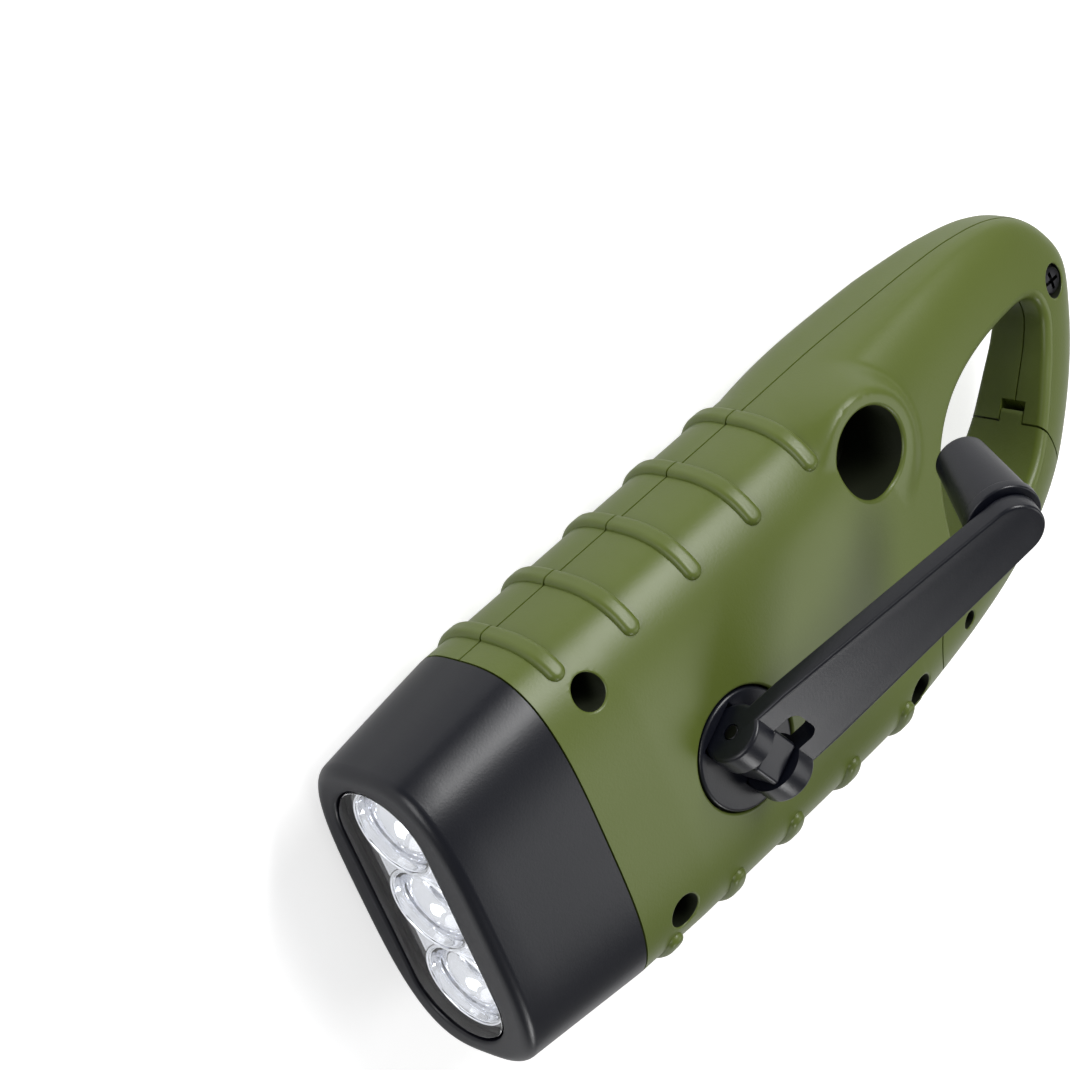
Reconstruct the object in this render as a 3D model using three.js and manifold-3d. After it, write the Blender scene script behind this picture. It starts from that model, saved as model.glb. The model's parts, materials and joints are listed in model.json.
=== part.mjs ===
// Hand crank flashlight with a carabiner loop, in millimetres.
// It lies on its solar panel: +Z is the crank side, the beam points to -Y, the gate is on the +X side.
import * as THREE from 'three';
import { mergeVertices } from 'three/addons/utils/BufferGeometryUtils.js';
import Module from 'manifold-3d';

const wasm = await Module();
wasm.setup();

// Values shared by several pieces
const gap = 0.3;
const runningGap = 0.1;
const wall = 2;
const overrun = 1;
const roundSteps = 18;
const smallSteps = 12;
const degree = Math.PI / 180;

// Body: its section is a superellipse, blunter on the crank side, and the loop end is lower
const body = {
  halfWidth: 27.2,
  baseZ: 1,
  crankZ: 33,
  partingZ: 17,
  seamY: 22,
  seamCrankZ: 32.3,
  seamHalfWidth: 27.1,
  solarBendY: 82,
  solarSlopeShare: 0.16,
  crankBendY: 78,
  crankSlopeShare: 0.1875,
  bendRound: 6,
  loopStartY: 84,
  loopLength: 63,
  fanLength: 33,
  beltShare: 0.46,
  solarExponent: 2.5,
  loopExponent: 5,
  crankExponent: 3.3,
  ringSteps: 24,
  slopeSteps: 7,
  outlineSteps: 58,
  openingSteps: 29,
};
const tailY = body.loopStartY + body.loopLength;
const fanY = tailY - body.fanLength;
// Shares of the half width and of the loop's length, right side first, then round the tail
const outlineShares = [
  [0.993, 0], [0.978, 0.143], [0.956, 0.27], [0.893, 0.444], [0.79, 0.587], [0.625, 0.722], [0.423, 0.817],
  [0.165, 0.905], [-0.092, 0.965], [-0.368, 1], [-0.588, 0.965], [-0.772, 0.897], [-0.882, 0.81],
  [-0.949, 0.683], [-0.978, 0.54], [-0.993, 0.365], [-1.004, 0.19], [-1, 0],
];
const openingShares = [
  [0.496, 0.251], [0.504, 0.302], [0.504, 0.381], [0.482, 0.47], [0.434, 0.543], [0.368, 0.605],
  [0.268, 0.66], [0.04, 0.743], [-0.114, 0.794], [-0.257, 0.825], [-0.375, 0.817], [-0.441, 0.768],
  [-0.474, 0.678], [-0.478, 0.56], [-0.449, 0.468], [-0.39, 0.394], [-0.301, 0.335], [-0.184, 0.29],
  [-0.037, 0.26], [0.173, 0.237], [0.379, 0.221], [0.463, 0.227],
];

// Grip ribs on both sides
const rib = {
  count: 5,
  firstY: 26.5,
  pitch: 12.74,
  width: 3,
  height: 0.85,
  lowZ: 5.4,
  highZ: 29.2,
  innerX: 20.5,
};

// Head, lens and lamps
const head = {
  rimHalfWidth: 24.7,
  rimBaseZ: 3.5,
  rimCrankZ: 30.9,
  rimExponent: 3.2,
  rimBeltShare: 0.5,
  edge: 1,
  frontWall: 2,
  openHalfWidth: 21.5,
  openHalfHeight: 8.75,
  openZ: 16.7,
  grooveDepth: 0.6,
  grooveWidth: 1.2,
};
const neck = { length: 5.5, wall: 1.6, beadHeight: 0.5 };
const lens = { recess: 0.9, flange: 0.9, flangeThickness: 1.4 };
const reflector = {
  cupRadius: 6.3,
  cupDepth: 7.4,
  middleShare: 0.62,
  holeRadius: 3,
  plate: 1.2,
  wall: 0.6,
  pitch: 13.2,
};
const lamp = { count: 3, radius: 2.5, height: 6.4, footRadius: 2.9, foot: 1 };
const lampBoard = { thickness: 1.6, halfWidth: 23.4, halfHeight: 11.2, exponent: 4, steps: 32 };

// Solar panel and its frame
const frame = {
  frontY: 28.5,
  halfWidth: 16.7,
  cornerY: 77.5,
  arcRise: 4.2,
  height: 4.4,
  rimWidth: 3,
  step: 1.1,
  leadRadius: 1.2,
};
const cell = { halfWidth: 11, frontY: 34.4, rearY: 73.2, depth: 1.9, thickness: 1.2 };
const tray = { floor: 1.6, wall: 1.6 };

// Gate of the loop, its pin and its spring
const gate = {
  x: 19.5,
  y: body.loopStartY + 13.3,
  rootRadius: 8,
  heelAngle: -54,
  tipRadius: 32,
  tipStart: 88,
  tipEnd: 122,
  reach: 26,
  swing: 30,
  notch: 1.5,
  notchStart: 166,
  notchEnd: 188,
  tongueLength: 1.9,
  slotRoom: 1.3,
  slotLowAngle: 109.5,
  tongueLowAngle: 110.5,
  tongueHighAngle: 115.4,
  tongueZ: 14.6,
  tongueHeight: 4.2,
};
const tab = { z: 10.6, height: 4.6, radius: 4.6, neckAngle: -117, neckWidth: 5.6, neckReach: 2.6 };
const pin = { radius: 1.3, sink: 0.4 };
const spring = { turns: 2, pitch: 0.9, wire: 0.2, radius: 2.3, sides: 5, steps: 8 };

// Case screws
const screw = {
  headRadius: 2.2,
  headHeight: 1.2,
  shankRadius: 1.05,
  shankLength: 8.2,
  slotWidth: 0.6,
  slotDepth: 0.7,
};
const screwHole = { radius: 2.55, seatZ: 20.2, tailSeatZ: 17.8, bossWall: 1.4, postRadius: 3.3 };
const frontScrew = { x: 18.9, y: 30 };
const rearScrew = { x: 21.3, y: body.loopStartY - 1.1 };
const tailScrew = { x: -9.6, y: tailY - 5.7, shankLength: 4.6 };

// Crank: the hub turns in a recess, the arm folds on a pin, the knob spins at the arm's end
const crank = { x: 4.3, y: 48.2, heading: 27, lift: 32, pivotZ: 35.6, reach: 45.8 };
const hub = {
  flatHalfWidth: 2.3,
  discRadius: 8.7,
  discThickness: 3.3,
  discSteps: 36,
  shaftRadius: 3,
  knuckleWidth: 5.3,
  knuckleRadius: 3.2,
};
const recess = { floor: 1.5, wall: 1.7 };
const arm = {
  rootHalfWidth: 6.75,
  tipHalfWidth: 4.6,
  thickness: 3,
  shoulder: 9,
  windowReach: 8,
  lugRadius: 4.4,
};
const foldPin = { radius: 1.1 };
const knob = {
  collarRadius: 5.5,
  collarHeight: 1.6,
  radius: 5.2,
  endRadius: 4.2,
  length: 14.5,
  stubRadius: 2,
  stubEnd: 3.4,
};
const knobScrew = { headRadius: 2.6, headHeight: 1.3, shankRadius: 0.8, shankLength: 5 };
const knobCup = { radius: 6.6, wall: 1.5, floor: 1.4, rimZ: 30.4, rimWidth: 1.8, flare: 1.6, depth: 11.8 };

// Gear train from the hub to the generator
const train = {
  module: 0.6,
  crankTeeth: 44,
  pinionTeeth: 12,
  wheelTeeth: 40,
  idlerAngle: 150,
  generatorAngle: -80,
  centreGap: 0.1,
  faceWidth: 2.5,
  toothShare: 0.42,
  wheelAddendumShare: 0.75,
  pinionAddendumShare: 0.9,
  dedendumShare: 1.25,
  pressureAngle: 20,
  axleRadius: 1,
};
const gearPlate = {
  thickness: 1.2,
  lowX: -22.5,
  highX: 21,
  lowY: 34.3,
  highY: 70,
  postRadius: 2.2,
  corner: 3,
};
const plateScrew = { headRadius: 1.9, headHeight: 1.1, shankRadius: 0.8, shankLength: 4.6 };
const platePosts = [
  [18, 38.2],
  [-20, 37.2],
  [8.5, 67],
];
const hubScrew = {
  headRadius: 2.3,
  headHeight: 1.4,
  shankRadius: 1.1,
  shankLength: 5,
  washerRadius: 3.9,
  washer: 0.6,
};
const generator = {
  radius: 10,
  wall: 0.8,
  cap: 1,
  nose: 2.6,
  coilThickness: 1.8,
  magnetRadius: 6,
  endSpace: 1.4,
};

// Power button and its switch
const button = {
  y: 37.3,
  z: 9.8,
  radius: 2.8,
  top: body.halfWidth + 1.3,
  crown: 0.7,
  flangeRadius: 3.3,
  flange: 1,
  flangeX: 0.65 * body.halfWidth,
  travel: 1.2,
};
const tact = { size: 6, depth: 3.6, plungerRadius: 1.6, plungerSeat: 2.4, plungerOut: 1.2 };
const boardLowY = frontScrew.y + screwHole.postRadius + gap;
const mainBoard = { thickness: 1.6, lowY: boardLowY, highY: 66, height: 12, grip: 3 };

// Battery: three button cells in a cradle
const battery = { count: 3, radius: 7.2, thickness: 5.4, x: 2.2, y: 77.2 };
const cradle = { wall: 1.3 };

// Colours
const green = new THREE.Color(0.27, 0.34, 0.16);
const black = new THREE.Color(0.045, 0.05, 0.055);

const part = new THREE.Group();

function material(colour, roughness, metalness) {
  return new THREE.MeshStandardMaterial({ color: colour, roughness, metalness });
}

const look = {
  green: material(green, 0.5, 0),
  black: material(black, 0.42, 0),
  steel: material(new THREE.Color(0.6, 0.61, 0.62), 0.3, 1),
  brass: material(new THREE.Color(0.7, 0.55, 0.3), 0.35, 1),
  copper: material(new THREE.Color(0.6, 0.32, 0.16), 0.4, 1),
  chrome: material(new THREE.Color(0.85, 0.86, 0.88), 0.08, 1),
  clear: material(new THREE.Color(0.9, 0.94, 0.97), 0.05, 0),
  cell: material(new THREE.Color(0.36, 0.13, 0.05), 0.35, 0.2),
  board: material(new THREE.Color(0.05, 0.22, 0.1), 0.5, 0),
  white: material(new THREE.Color(0.82, 0.82, 0.78), 0.5, 0),
  magnet: material(new THREE.Color(0.14, 0.14, 0.15), 0.6, 0.3),
};

// Turns a closed geometry into a solid for cutting and joining
function solid(geometry) {
  const plain = geometry.index ? geometry.toNonIndexed() : geometry;
  plain.deleteAttribute('normal');
  plain.deleteAttribute('uv');
  const merged = mergeVertices(plain, 1e-4);
  const mesh = new wasm.Mesh({
    numProp: 3,
    vertProperties: new Float32Array(merged.attributes.position.array),
    triVerts: new Uint32Array(merged.index.array),
  });
  return new wasm.Manifold(mesh);
}

// Turns a solid back into a geometry
function geometryOf(shape) {
  const mesh = shape.getMesh();
  const geometry = new THREE.BufferGeometry();
  geometry.setAttribute('position', new THREE.BufferAttribute(new Float32Array(mesh.vertProperties), 3));
  geometry.setIndex(new THREE.BufferAttribute(new Uint32Array(mesh.triVerts), 1));
  return geometry;
}

function join(...shapes) {
  return shapes.reduce((sum, shape) => sum.add(shape));
}

function cut(base, ...tools) {
  return tools.reduce((rest, tool) => rest.subtract(tool), base);
}

function addNode(name, shape, surface, parent = part) {
  const mesh = new THREE.Mesh(geometryOf(shape), surface);
  mesh.name = name;
  parent.add(mesh);
  return mesh;
}

function block(lowX, highX, lowY, highY, lowZ, highZ) {
  const box = new THREE.BoxGeometry(highX - lowX, highY - lowY, highZ - lowZ);
  box.translate((lowX + highX) / 2, (lowY + highY) / 2, (lowZ + highZ) / 2);
  return solid(box);
}

// Upright cylinder or cone between two heights
function column(radius, lowZ, highZ, x = 0, y = 0, topRadius = radius, steps = roundSteps) {
  const cylinder = new THREE.CylinderGeometry(topRadius, radius, highZ - lowZ, steps);
  cylinder.rotateX(Math.PI / 2);
  cylinder.translate(x, y, (lowZ + highZ) / 2);
  return solid(cylinder);
}

// Cylinder along X between two places
function bar(radius, lowX, highX, y, z, endRadius = radius, steps = roundSteps) {
  const cylinder = new THREE.CylinderGeometry(radius, endRadius, highX - lowX, steps);
  cylinder.rotateZ(Math.PI / 2);
  cylinder.translate((lowX + highX) / 2, y, z);
  return solid(cylinder);
}

// Upright prism over an outline in X and Y
function prism(points, lowZ, highZ) {
  const shape = new THREE.Shape(points.map(([x, y]) => new THREE.Vector2(x, y)));
  const geometry = new THREE.ExtrudeGeometry(shape, { depth: highZ - lowZ, bevelEnabled: false });
  geometry.translate(0, 0, lowZ);
  return solid(geometry);
}

// Prism along Y over an outline in X and Z
function standingPrism(points, lowY, highY) {
  const shape = new THREE.Shape(points.map(([x, z]) => new THREE.Vector2(x, z)));
  const geometry = new THREE.ExtrudeGeometry(shape, { depth: highY - lowY, bevelEnabled: false });
  geometry.rotateX(Math.PI / 2);
  geometry.translate(0, highY, 0);
  return solid(geometry);
}

// Body of revolution about the Y direction, profile given as radius and place along Y
function spunY(profile, x, z, steps = roundSteps) {
  const points = profile.map(([radius, y]) => new THREE.Vector2(radius, y));
  const geometry = new THREE.LatheGeometry(points, steps);
  geometry.translate(x, 0, z);
  return solid(geometry);
}

// Points of an arc about a centre
function arc(centreX, centreY, radius, startAngle, endAngle, steps) {
  return Array.from({ length: steps + 1 }, (unused, index) => {
    const angle = (startAngle + ((endAngle - startAngle) * index) / steps) * degree;
    return [centreX + radius * Math.cos(angle), centreY + radius * Math.sin(angle)];
  });
}

// Smooth run through places given as shares
function smoothOutline(shares, closed, steps) {
  const points = shares.map(
    ([x, y]) => new THREE.Vector3(x * body.halfWidth, body.loopStartY + y * body.loopLength, 0),
  );
  const curve = new THREE.CatmullRomCurve3(points, closed, 'centripetal');
  const samples = curve.getPoints(steps).map((point) => [point.x, point.y]);
  return closed ? samples.slice(0, -1) : samples;
}

// Moves each point of a closed outline outwards along its normal
function offsetOutline(points, distance) {
  return points.map(([x, y], index) => {
    const before = points[(index + points.length - 1) % points.length];
    const after = points[(index + 1) % points.length];
    const alongX = after[0] - before[0];
    const alongY = after[1] - before[1];
    const share = distance / Math.hypot(alongX, alongY);
    return [x + share * alongY, y - share * alongX];
  });
}

const outerOutline = smoothOutline(outlineShares, false, body.outlineSteps);
const openingOutline = smoothOutline(openingShares, true, body.openingSteps);

// Half width of the body at a place along it: side is 1 on the right and -1 on the left
function sideX(y, side) {
  if (y <= body.loopStartY) {
    const share = Math.min(1, (y - body.seamY) / (body.loopStartY - body.seamY));
    return side * (body.seamHalfWidth + (body.halfWidth - body.seamHalfWidth) * share);
  }
  const run = side > 0 ? outerOutline : [...outerOutline].reverse();
  const index = run.findIndex((point) => point[1] >= y);
  const [beforeX, beforeY] = run[Math.max(0, index - 1)];
  const [afterX, afterY] = run[index];
  return beforeX + ((afterX - beforeX) * (y - beforeY)) / Math.max(1e-6, afterY - beforeY);
}

// Distance past a bend, rounded where it starts
function pastBend(y, bendY) {
  const past = y - bendY;
  return (Math.hypot(past, body.bendRound) + past) / 2;
}

// Height of the solar face along the body, level and then rising to the loop's end
function solarHeight(y) {
  const past = pastBend(y, body.solarBendY) - pastBend(body.seamY, body.solarBendY);
  return body.baseZ + body.solarSlopeShare * past;
}

// Height of the crank face along the body: a short rise, level, then a fall to the loop's end
function crankHeight(y) {
  const rise = Math.min(1, Math.max(0, (y - body.seamY) / rib.pitch));
  const flat = body.seamCrankZ + (body.crankZ - body.seamCrankZ) * rise;
  const past = pastBend(y, body.crankBendY) - pastBend(body.seamY, body.crankBendY);
  return flat - body.crankSlopeShare * past;
}

// Point of a section at a direction: 0 is the side and a quarter turn is the crank side
function sectionPoint(heights, angle, exponents) {
  const upper = Math.sin(angle) >= 0;
  const power = 2 / (upper ? exponents.crank : exponents.solar);
  const across = Math.abs(Math.cos(angle)) ** power * Math.sign(Math.cos(angle));
  const share = Math.abs(Math.sin(angle)) ** power;
  return { across, height: (y) => {
    const { low, belt, high } = heights(y);
    return belt + share * (upper ? high - belt : low - belt);
  } };
}

// Section of the body at a place along it, drawn in by an inset
function bodyRing(y, inset) {
  const flat = Math.min(1, Math.max(0, (y - body.loopStartY) / (fanY - body.loopStartY)));
  return {
    y,
    rightX: sideX(y, 1) - inset,
    leftX: sideX(y, -1) + inset,
    heights: (place) => {
      const low = solarHeight(place);
      const high = crankHeight(place);
      return { low: low + inset, belt: low + (high - low) * body.beltShare, high: high - inset };
    },
    exponents: {
      crank: body.crankExponent,
      solar: body.solarExponent + (body.loopExponent - body.solarExponent) * flat,
    },
  };
}

// Section of the head, from its rim at zero to the seam
function headRing(y, inset) {
  const share = y / body.seamY;
  const mix = (from, to) => from + (to - from) * share;
  const low = mix(head.rimBaseZ, body.baseZ);
  const high = mix(head.rimCrankZ, body.seamCrankZ);
  const belt = low + (high - low) * mix(head.rimBeltShare, body.beltShare);
  const halfWidth = mix(head.rimHalfWidth, body.seamHalfWidth) - inset;
  return {
    y,
    rightX: halfWidth,
    leftX: -halfWidth,
    heights: () => ({ low: low + inset, belt, high: high - inset }),
    exponents: {
      crank: mix(head.rimExponent, body.crankExponent),
      solar: mix(head.rimExponent, body.solarExponent),
    },
  };
}

function ringPoints(ring) {
  const middle = (ring.rightX + ring.leftX) / 2;
  const half = (ring.rightX - ring.leftX) / 2;
  return Array.from({ length: body.ringSteps }, (unused, index) => {
    const point = sectionPoint(ring.heights, (index / body.ringSteps) * 2 * Math.PI, ring.exponents);
    return [middle + point.across * half, ring.y, point.height(ring.y)];
  });
}

// Half rings from the solar side round an outline point to the crank side, about a fixed middle
function fanRings(ring, outline, inset) {
  const middleX = (ring.rightX + ring.leftX) / 2;
  const quarter = body.ringSteps / 4;
  return outline.map(([x, y]) => {
    const length = Math.hypot(x - middleX, y - ring.y);
    const shrink = (length - inset) / length;
    return Array.from({ length: 2 * quarter + 1 }, (unused, index) => {
      const angle = ((index - quarter) / body.ringSteps) * 2 * Math.PI;
      const point = sectionPoint(ring.heights, angle, ring.exponents);
      const share = shrink * point.across;
      const place = ring.y + (y - ring.y) * share;
      return [middleX + (x - middleX) * share, place, point.height(place)];
    });
  });
}

function pushQuad(faces, first, second, third, fourth) {
  faces.push(first, second, third, first, third, fourth);
}

// Skin through a run of closed rings, with a flat front and either a flat back or a fan
function loft(rings, fan) {
  const points = [];
  const faces = [];
  const count = body.ringSteps;
  rings.forEach((ring) => points.push(...ringPoints(ring)));
  for (let row = 0; row + 1 < rings.length; row += 1) {
    for (let index = 0; index < count; index += 1) {
      const next = (index + 1) % count;
      const low = row * count;
      pushQuad(faces, low + index, low + count + index, low + count + next, low + next);
    }
  }
  for (let index = 1; index + 1 < count; index += 1) {
    faces.push(0, index, index + 1);
  }
  const last = (rings.length - 1) * count;
  if (fan) {
    const start = points.length;
    const size = fan[0].length;
    fan.forEach((run) => points.push(...run));
    for (let row = 0; row + 1 < fan.length; row += 1) {
      for (let index = 0; index + 1 < size; index += 1) {
        const low = start + row * size;
        pushQuad(faces, low + index, low + size + index, low + size + index + 1, low + index + 1);
      }
    }
  } else {
    for (let index = 1; index + 1 < count; index += 1) {
      faces.push(last, last + index + 1, last + index);
    }
  }
  return skin(points, faces);
}

// Closed solid from points and triangles, with matching corners merged and flat slivers left out
function skin(points, faces) {
  const geometry = new THREE.BufferGeometry();
  geometry.setAttribute('position', new THREE.Float32BufferAttribute(points.flat(), 3));
  geometry.setIndex(faces);
  const merged = mergeVertices(geometry, 1e-3);
  const index = merged.index.array;
  const kept = [];
  for (let corner = 0; corner < index.length; corner += 3) {
    const [first, second, third] = [index[corner], index[corner + 1], index[corner + 2]];
    if (first !== second && second !== third && third !== first) {
      kept.push(first, second, third);
    }
  }
  merged.setIndex(kept);
  return solid(merged);
}

// Body blank from a front place to the tail, drawn in by an inset
function bodyBlank(frontY, inset) {
  const slopeStartY = body.crankBendY - body.bendRound;
  const slope = Array.from({ length: body.slopeSteps }, (unused, index) => {
    return slopeStartY + ((fanY - slopeStartY) * index) / body.slopeSteps;
  });
  const rings = [frontY, body.seamY + rib.pitch, ...slope, fanY].map((y) => bodyRing(y, inset));
  const lastRing = rings[rings.length - 1];
  const tail = outerOutline.filter((point) => point[1] > fanY + gap);
  const outline = [
    [lastRing.rightX + inset, fanY],
    ...tail.filter((unused, index) => index % 2 === 0),
    [lastRing.leftX - inset, fanY],
  ];
  return loft(rings, fanRings(lastRing, outline, inset));
}

// Outline of the solar frame, grown or drawn in by a distance
function frameOutline(distance) {
  const arcRadius = (frame.halfWidth ** 2 + frame.arcRise ** 2) / (2 * frame.arcRise);
  const centreY = frame.cornerY + frame.arcRise - arcRadius;
  const half = frame.halfWidth + distance;
  const radius = arcRadius + distance;
  const startAngle = Math.acos(half / radius) / degree;
  const rear = arc(0, centreY, radius, startAngle, 180 - startAngle, 8);
  return [[-half, frame.frontY - distance], [half, frame.frontY - distance], ...rear];
}

// Rounded slot outline of the head's opening, grown or drawn in by a distance
function lensOutline(distance) {
  const radius = head.openHalfHeight + distance;
  const straight = head.openHalfWidth - head.openHalfHeight;
  return [
    ...arc(straight, head.openZ, radius, -90, 90, 10),
    ...arc(-straight, head.openZ, radius, 90, 270, 10),
  ];
}

// Zone of the gate in plan, grown by a clearance at its root and at its tip
function gateZone(rootGap, tipGap) {
  const root = arc(gate.x, gate.y, gate.rootRadius + rootGap, -180, gate.heelAngle, 20);
  const heel = root[root.length - 1];
  const outward = (gate.heelAngle + 90) * degree;
  const tip = arc(gate.x, gate.y, gate.tipRadius + tipGap, gate.tipStart, gate.tipEnd, 12);
  const points = [
    ...root,
    [heel[0] + gate.reach * Math.cos(outward), heel[1] + gate.reach * Math.sin(outward)],
    ...tip,
  ];
  return prism(points, -overrun, body.crankZ + overrun);
}

// Sector ring about the gate's pin
function gateSector(innerRadius, outerRadius, lowAngle, highAngle, lowZ, highZ) {
  const outer = arc(gate.x, gate.y, outerRadius, lowAngle, highAngle, 8);
  const inner = arc(gate.x, gate.y, innerRadius, highAngle, lowAngle, 8);
  return prism([...outer, ...inner], lowZ, highZ);
}

// Plate that joins the tab round the gate's pin to the body, turned about the pin
function tabNeck(width, turn, lowZ, highZ) {
  const angle = (tab.neckAngle + turn) * degree;
  const reach = gate.rootRadius + tab.neckReach;
  const [alongX, alongY] = [Math.cos(angle), Math.sin(angle)];
  const corners = [
    [0, -1],
    [1, -1],
    [1, 1],
    [0, 1],
  ];
  const points = corners.map(([along, across]) => [
    gate.x + along * reach * alongX - (across * width * alongY) / 2,
    gate.y + along * reach * alongY + (across * width * alongX) / 2,
  ]);
  return prism(points, lowZ, highZ);
}

// Heights of the inner pieces, from the crank's disc down to the gear plate
const level = {};
level.discTop = body.crankZ;
level.discLow = level.discTop - hub.discThickness;
level.recessFloor = level.discLow - gap;
level.recessUnder = level.recessFloor - recess.floor;
level.crankGearHigh = level.recessUnder - gap;
level.crankGearLow = level.crankGearHigh - train.faceWidth;
level.wheelHigh = level.crankGearLow - gap;
level.wheelLow = level.wheelHigh - train.faceWidth;
level.plateHigh = level.wheelLow - gap;
level.plateLow = level.plateHigh - gearPlate.thickness;
level.trayLow = frame.height + gap;
level.trayTop = level.trayLow + tray.floor;

// Places worked out from the values above
const heading = crank.heading * degree;
const knobPlace = [crank.x - crank.reach * Math.sin(heading), crank.y + crank.reach * Math.cos(heading)];
const farRadius = (teeth) => (teeth * train.module) / 2;
const idlerDistance = farRadius(train.crankTeeth) + farRadius(train.pinionTeeth) + train.centreGap;
const idlerPlace = [
  crank.x + idlerDistance * Math.cos(train.idlerAngle * degree),
  crank.y + idlerDistance * Math.sin(train.idlerAngle * degree),
];
const generatorDistance = farRadius(train.wheelTeeth) + farRadius(train.pinionTeeth) + train.centreGap;
const generatorPlace = [
  idlerPlace[0] + generatorDistance * Math.cos(train.generatorAngle * degree),
  idlerPlace[1] + generatorDistance * Math.sin(train.generatorAngle * degree),
];
const caseScrews = [
  { x: frontScrew.x, y: frontScrew.y, seatZ: screwHole.seatZ, length: screw.shankLength },
  { x: -frontScrew.x, y: frontScrew.y, seatZ: screwHole.seatZ, length: screw.shankLength },
  { x: rearScrew.x, y: rearScrew.y, seatZ: screwHole.seatZ, length: screw.shankLength },
  { x: tailScrew.x, y: tailScrew.y, seatZ: screwHole.tailSeatZ, length: tailScrew.shankLength },
];
const highZ = body.crankZ + overrun;

// Both shells before they are parted: body, ribs, neck and knob hole rim, hollowed out
function shellBlank() {
  const blank = bodyBlank(body.seamY + gap, 0);
  const sleeve = wall + gap;
  const frontY = body.seamY - neck.length;
  const beadY = frontY + neck.length / 3;
  const neckRings = [
    headRing(frontY, sleeve),
    headRing(beadY, sleeve),
    headRing(beadY + neck.beadHeight, sleeve - neck.beadHeight),
    headRing(beadY + 2 * neck.beadHeight, sleeve - neck.beadHeight),
    headRing(beadY + 3 * neck.beadHeight, sleeve),
    bodyRing(body.seamY + wall, sleeve),
  ];
  const ribs = Array.from({ length: rib.count }, (unused, index) => {
    const lowY = rib.firstY + index * rib.pitch;
    const section = ringPoints(bodyRing(lowY + rib.width / 2, -rib.height)).map(([x, , z]) => [x, z]);
    const band = standingPrism(section, lowY, lowY + rib.width);
    const outer = body.halfWidth + rib.height + overrun;
    const right = block(rib.innerX, outer, lowY - gap, lowY + rib.width + gap, rib.lowZ, rib.highZ);
    const left = block(-outer, -rib.innerX, lowY - gap, lowY + rib.width + gap, rib.lowZ, rib.highZ);
    return band.intersect(join(right, left));
  });
  const rimRadius = knobCup.radius + knobCup.rimWidth;
  const bulgeLow = knobCup.rimZ - knobCup.depth;
  const bulge = column(rimRadius + knobCup.flare, bulgeLow, knobCup.rimZ, ...knobPlace, rimRadius);
  const outside = join(blank, loft(neckRings), ...ribs, bulge);
  const neckInset = sleeve + neck.wall;
  const innerNeck = loft([
    headRing(frontY - overrun, neckInset),
    headRing(body.seamY, neckInset),
    bodyRing(body.seamY + 2 * wall, neckInset),
  ]);
  const loopWall = prism(offsetOutline(openingOutline, wall), -overrun, highZ);
  const gateWall = gateZone(gap + wall, gate.tongueLength + gate.slotRoom + wall);
  const inside = cut(bodyBlank(body.seamY + gap + wall, wall), loopWall, gateWall);
  const notch = gateSector(
    gate.rootRadius - wall,
    gate.rootRadius + gate.notch,
    gate.notchStart,
    gate.notchEnd,
    -overrun,
    highZ,
  );
  const tongueSlot = gateSector(
    gate.tipRadius,
    gate.tipRadius + gate.tongueLength + gate.slotRoom,
    gate.slotLowAngle,
    gate.tipEnd,
    gate.tongueZ - gap,
    gate.tongueZ + gate.tongueHeight + gap,
  );
  return {
    blank: join(blank, bulge),
    hollow: cut(outside, inside, innerNeck),
    clearance: join(prism(openingOutline, -overrun, highZ), gateZone(gap, gap), notch, tongueSlot),
  };
}

function crankSideShell(shells) {
  const upper = block(-body.loopLength, body.loopLength, 0, tailY + overrun, body.partingZ + gap / 2, highZ);
  const bossRadius = screwHole.radius + screwHole.bossWall;
  const lowZ = body.partingZ + gap / 2;
  const bosses = caseScrews.map(({ x, y }) => column(bossRadius, lowZ, highZ, x, y));
  const discWall = column(hub.discRadius + gap + recess.wall, level.recessUnder, highZ, crank.x, crank.y);
  const cupLow = knobCup.rimZ - knobCup.depth;
  const cup = column(knobCup.radius + knobCup.wall, cupLow - knobCup.floor, highZ, ...knobPlace);
  const posts = platePosts.map(([x, y]) => column(gearPlate.postRadius, level.plateHigh + gap, highZ, x, y));
  const socket = column(train.axleRadius + screwHole.bossWall, level.recessUnder, highZ, ...idlerPlace);
  const inner = join(...bosses, discWall, cup, ...posts, socket).intersect(shells.blank);
  const shell = join(shells.hollow.intersect(upper), inner.intersect(upper));
  const screwHoles = caseScrews.flatMap(({ x, y, seatZ }) => [
    column(screwHole.radius, seatZ, highZ, x, y),
    column(screw.shankRadius + gap, lowZ - overrun, highZ, x, y),
  ]);
  const pilots = platePosts.map(([x, y]) => {
    const deep = level.plateLow + plateScrew.shankLength + gap;
    const radius = plateScrew.shankRadius + gap;
    return column(radius, level.plateLow, deep, x, y, radius, smallSteps);
  });
  const cutters = [
    ...screwHoles,
    ...pilots,
    column(hub.discRadius + gap, level.recessFloor, highZ, crank.x, crank.y),
    column(hub.shaftRadius + gap, level.recessUnder - overrun, highZ, crank.x, crank.y),
    column(knobCup.radius, cupLow, highZ, ...knobPlace),
    column(train.axleRadius + runningGap, level.plateLow, level.discLow, ...idlerPlace),
  ];
  addNode('crank_side_shell', cut(shell, shells.clearance, ...cutters), look.green);
}

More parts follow.
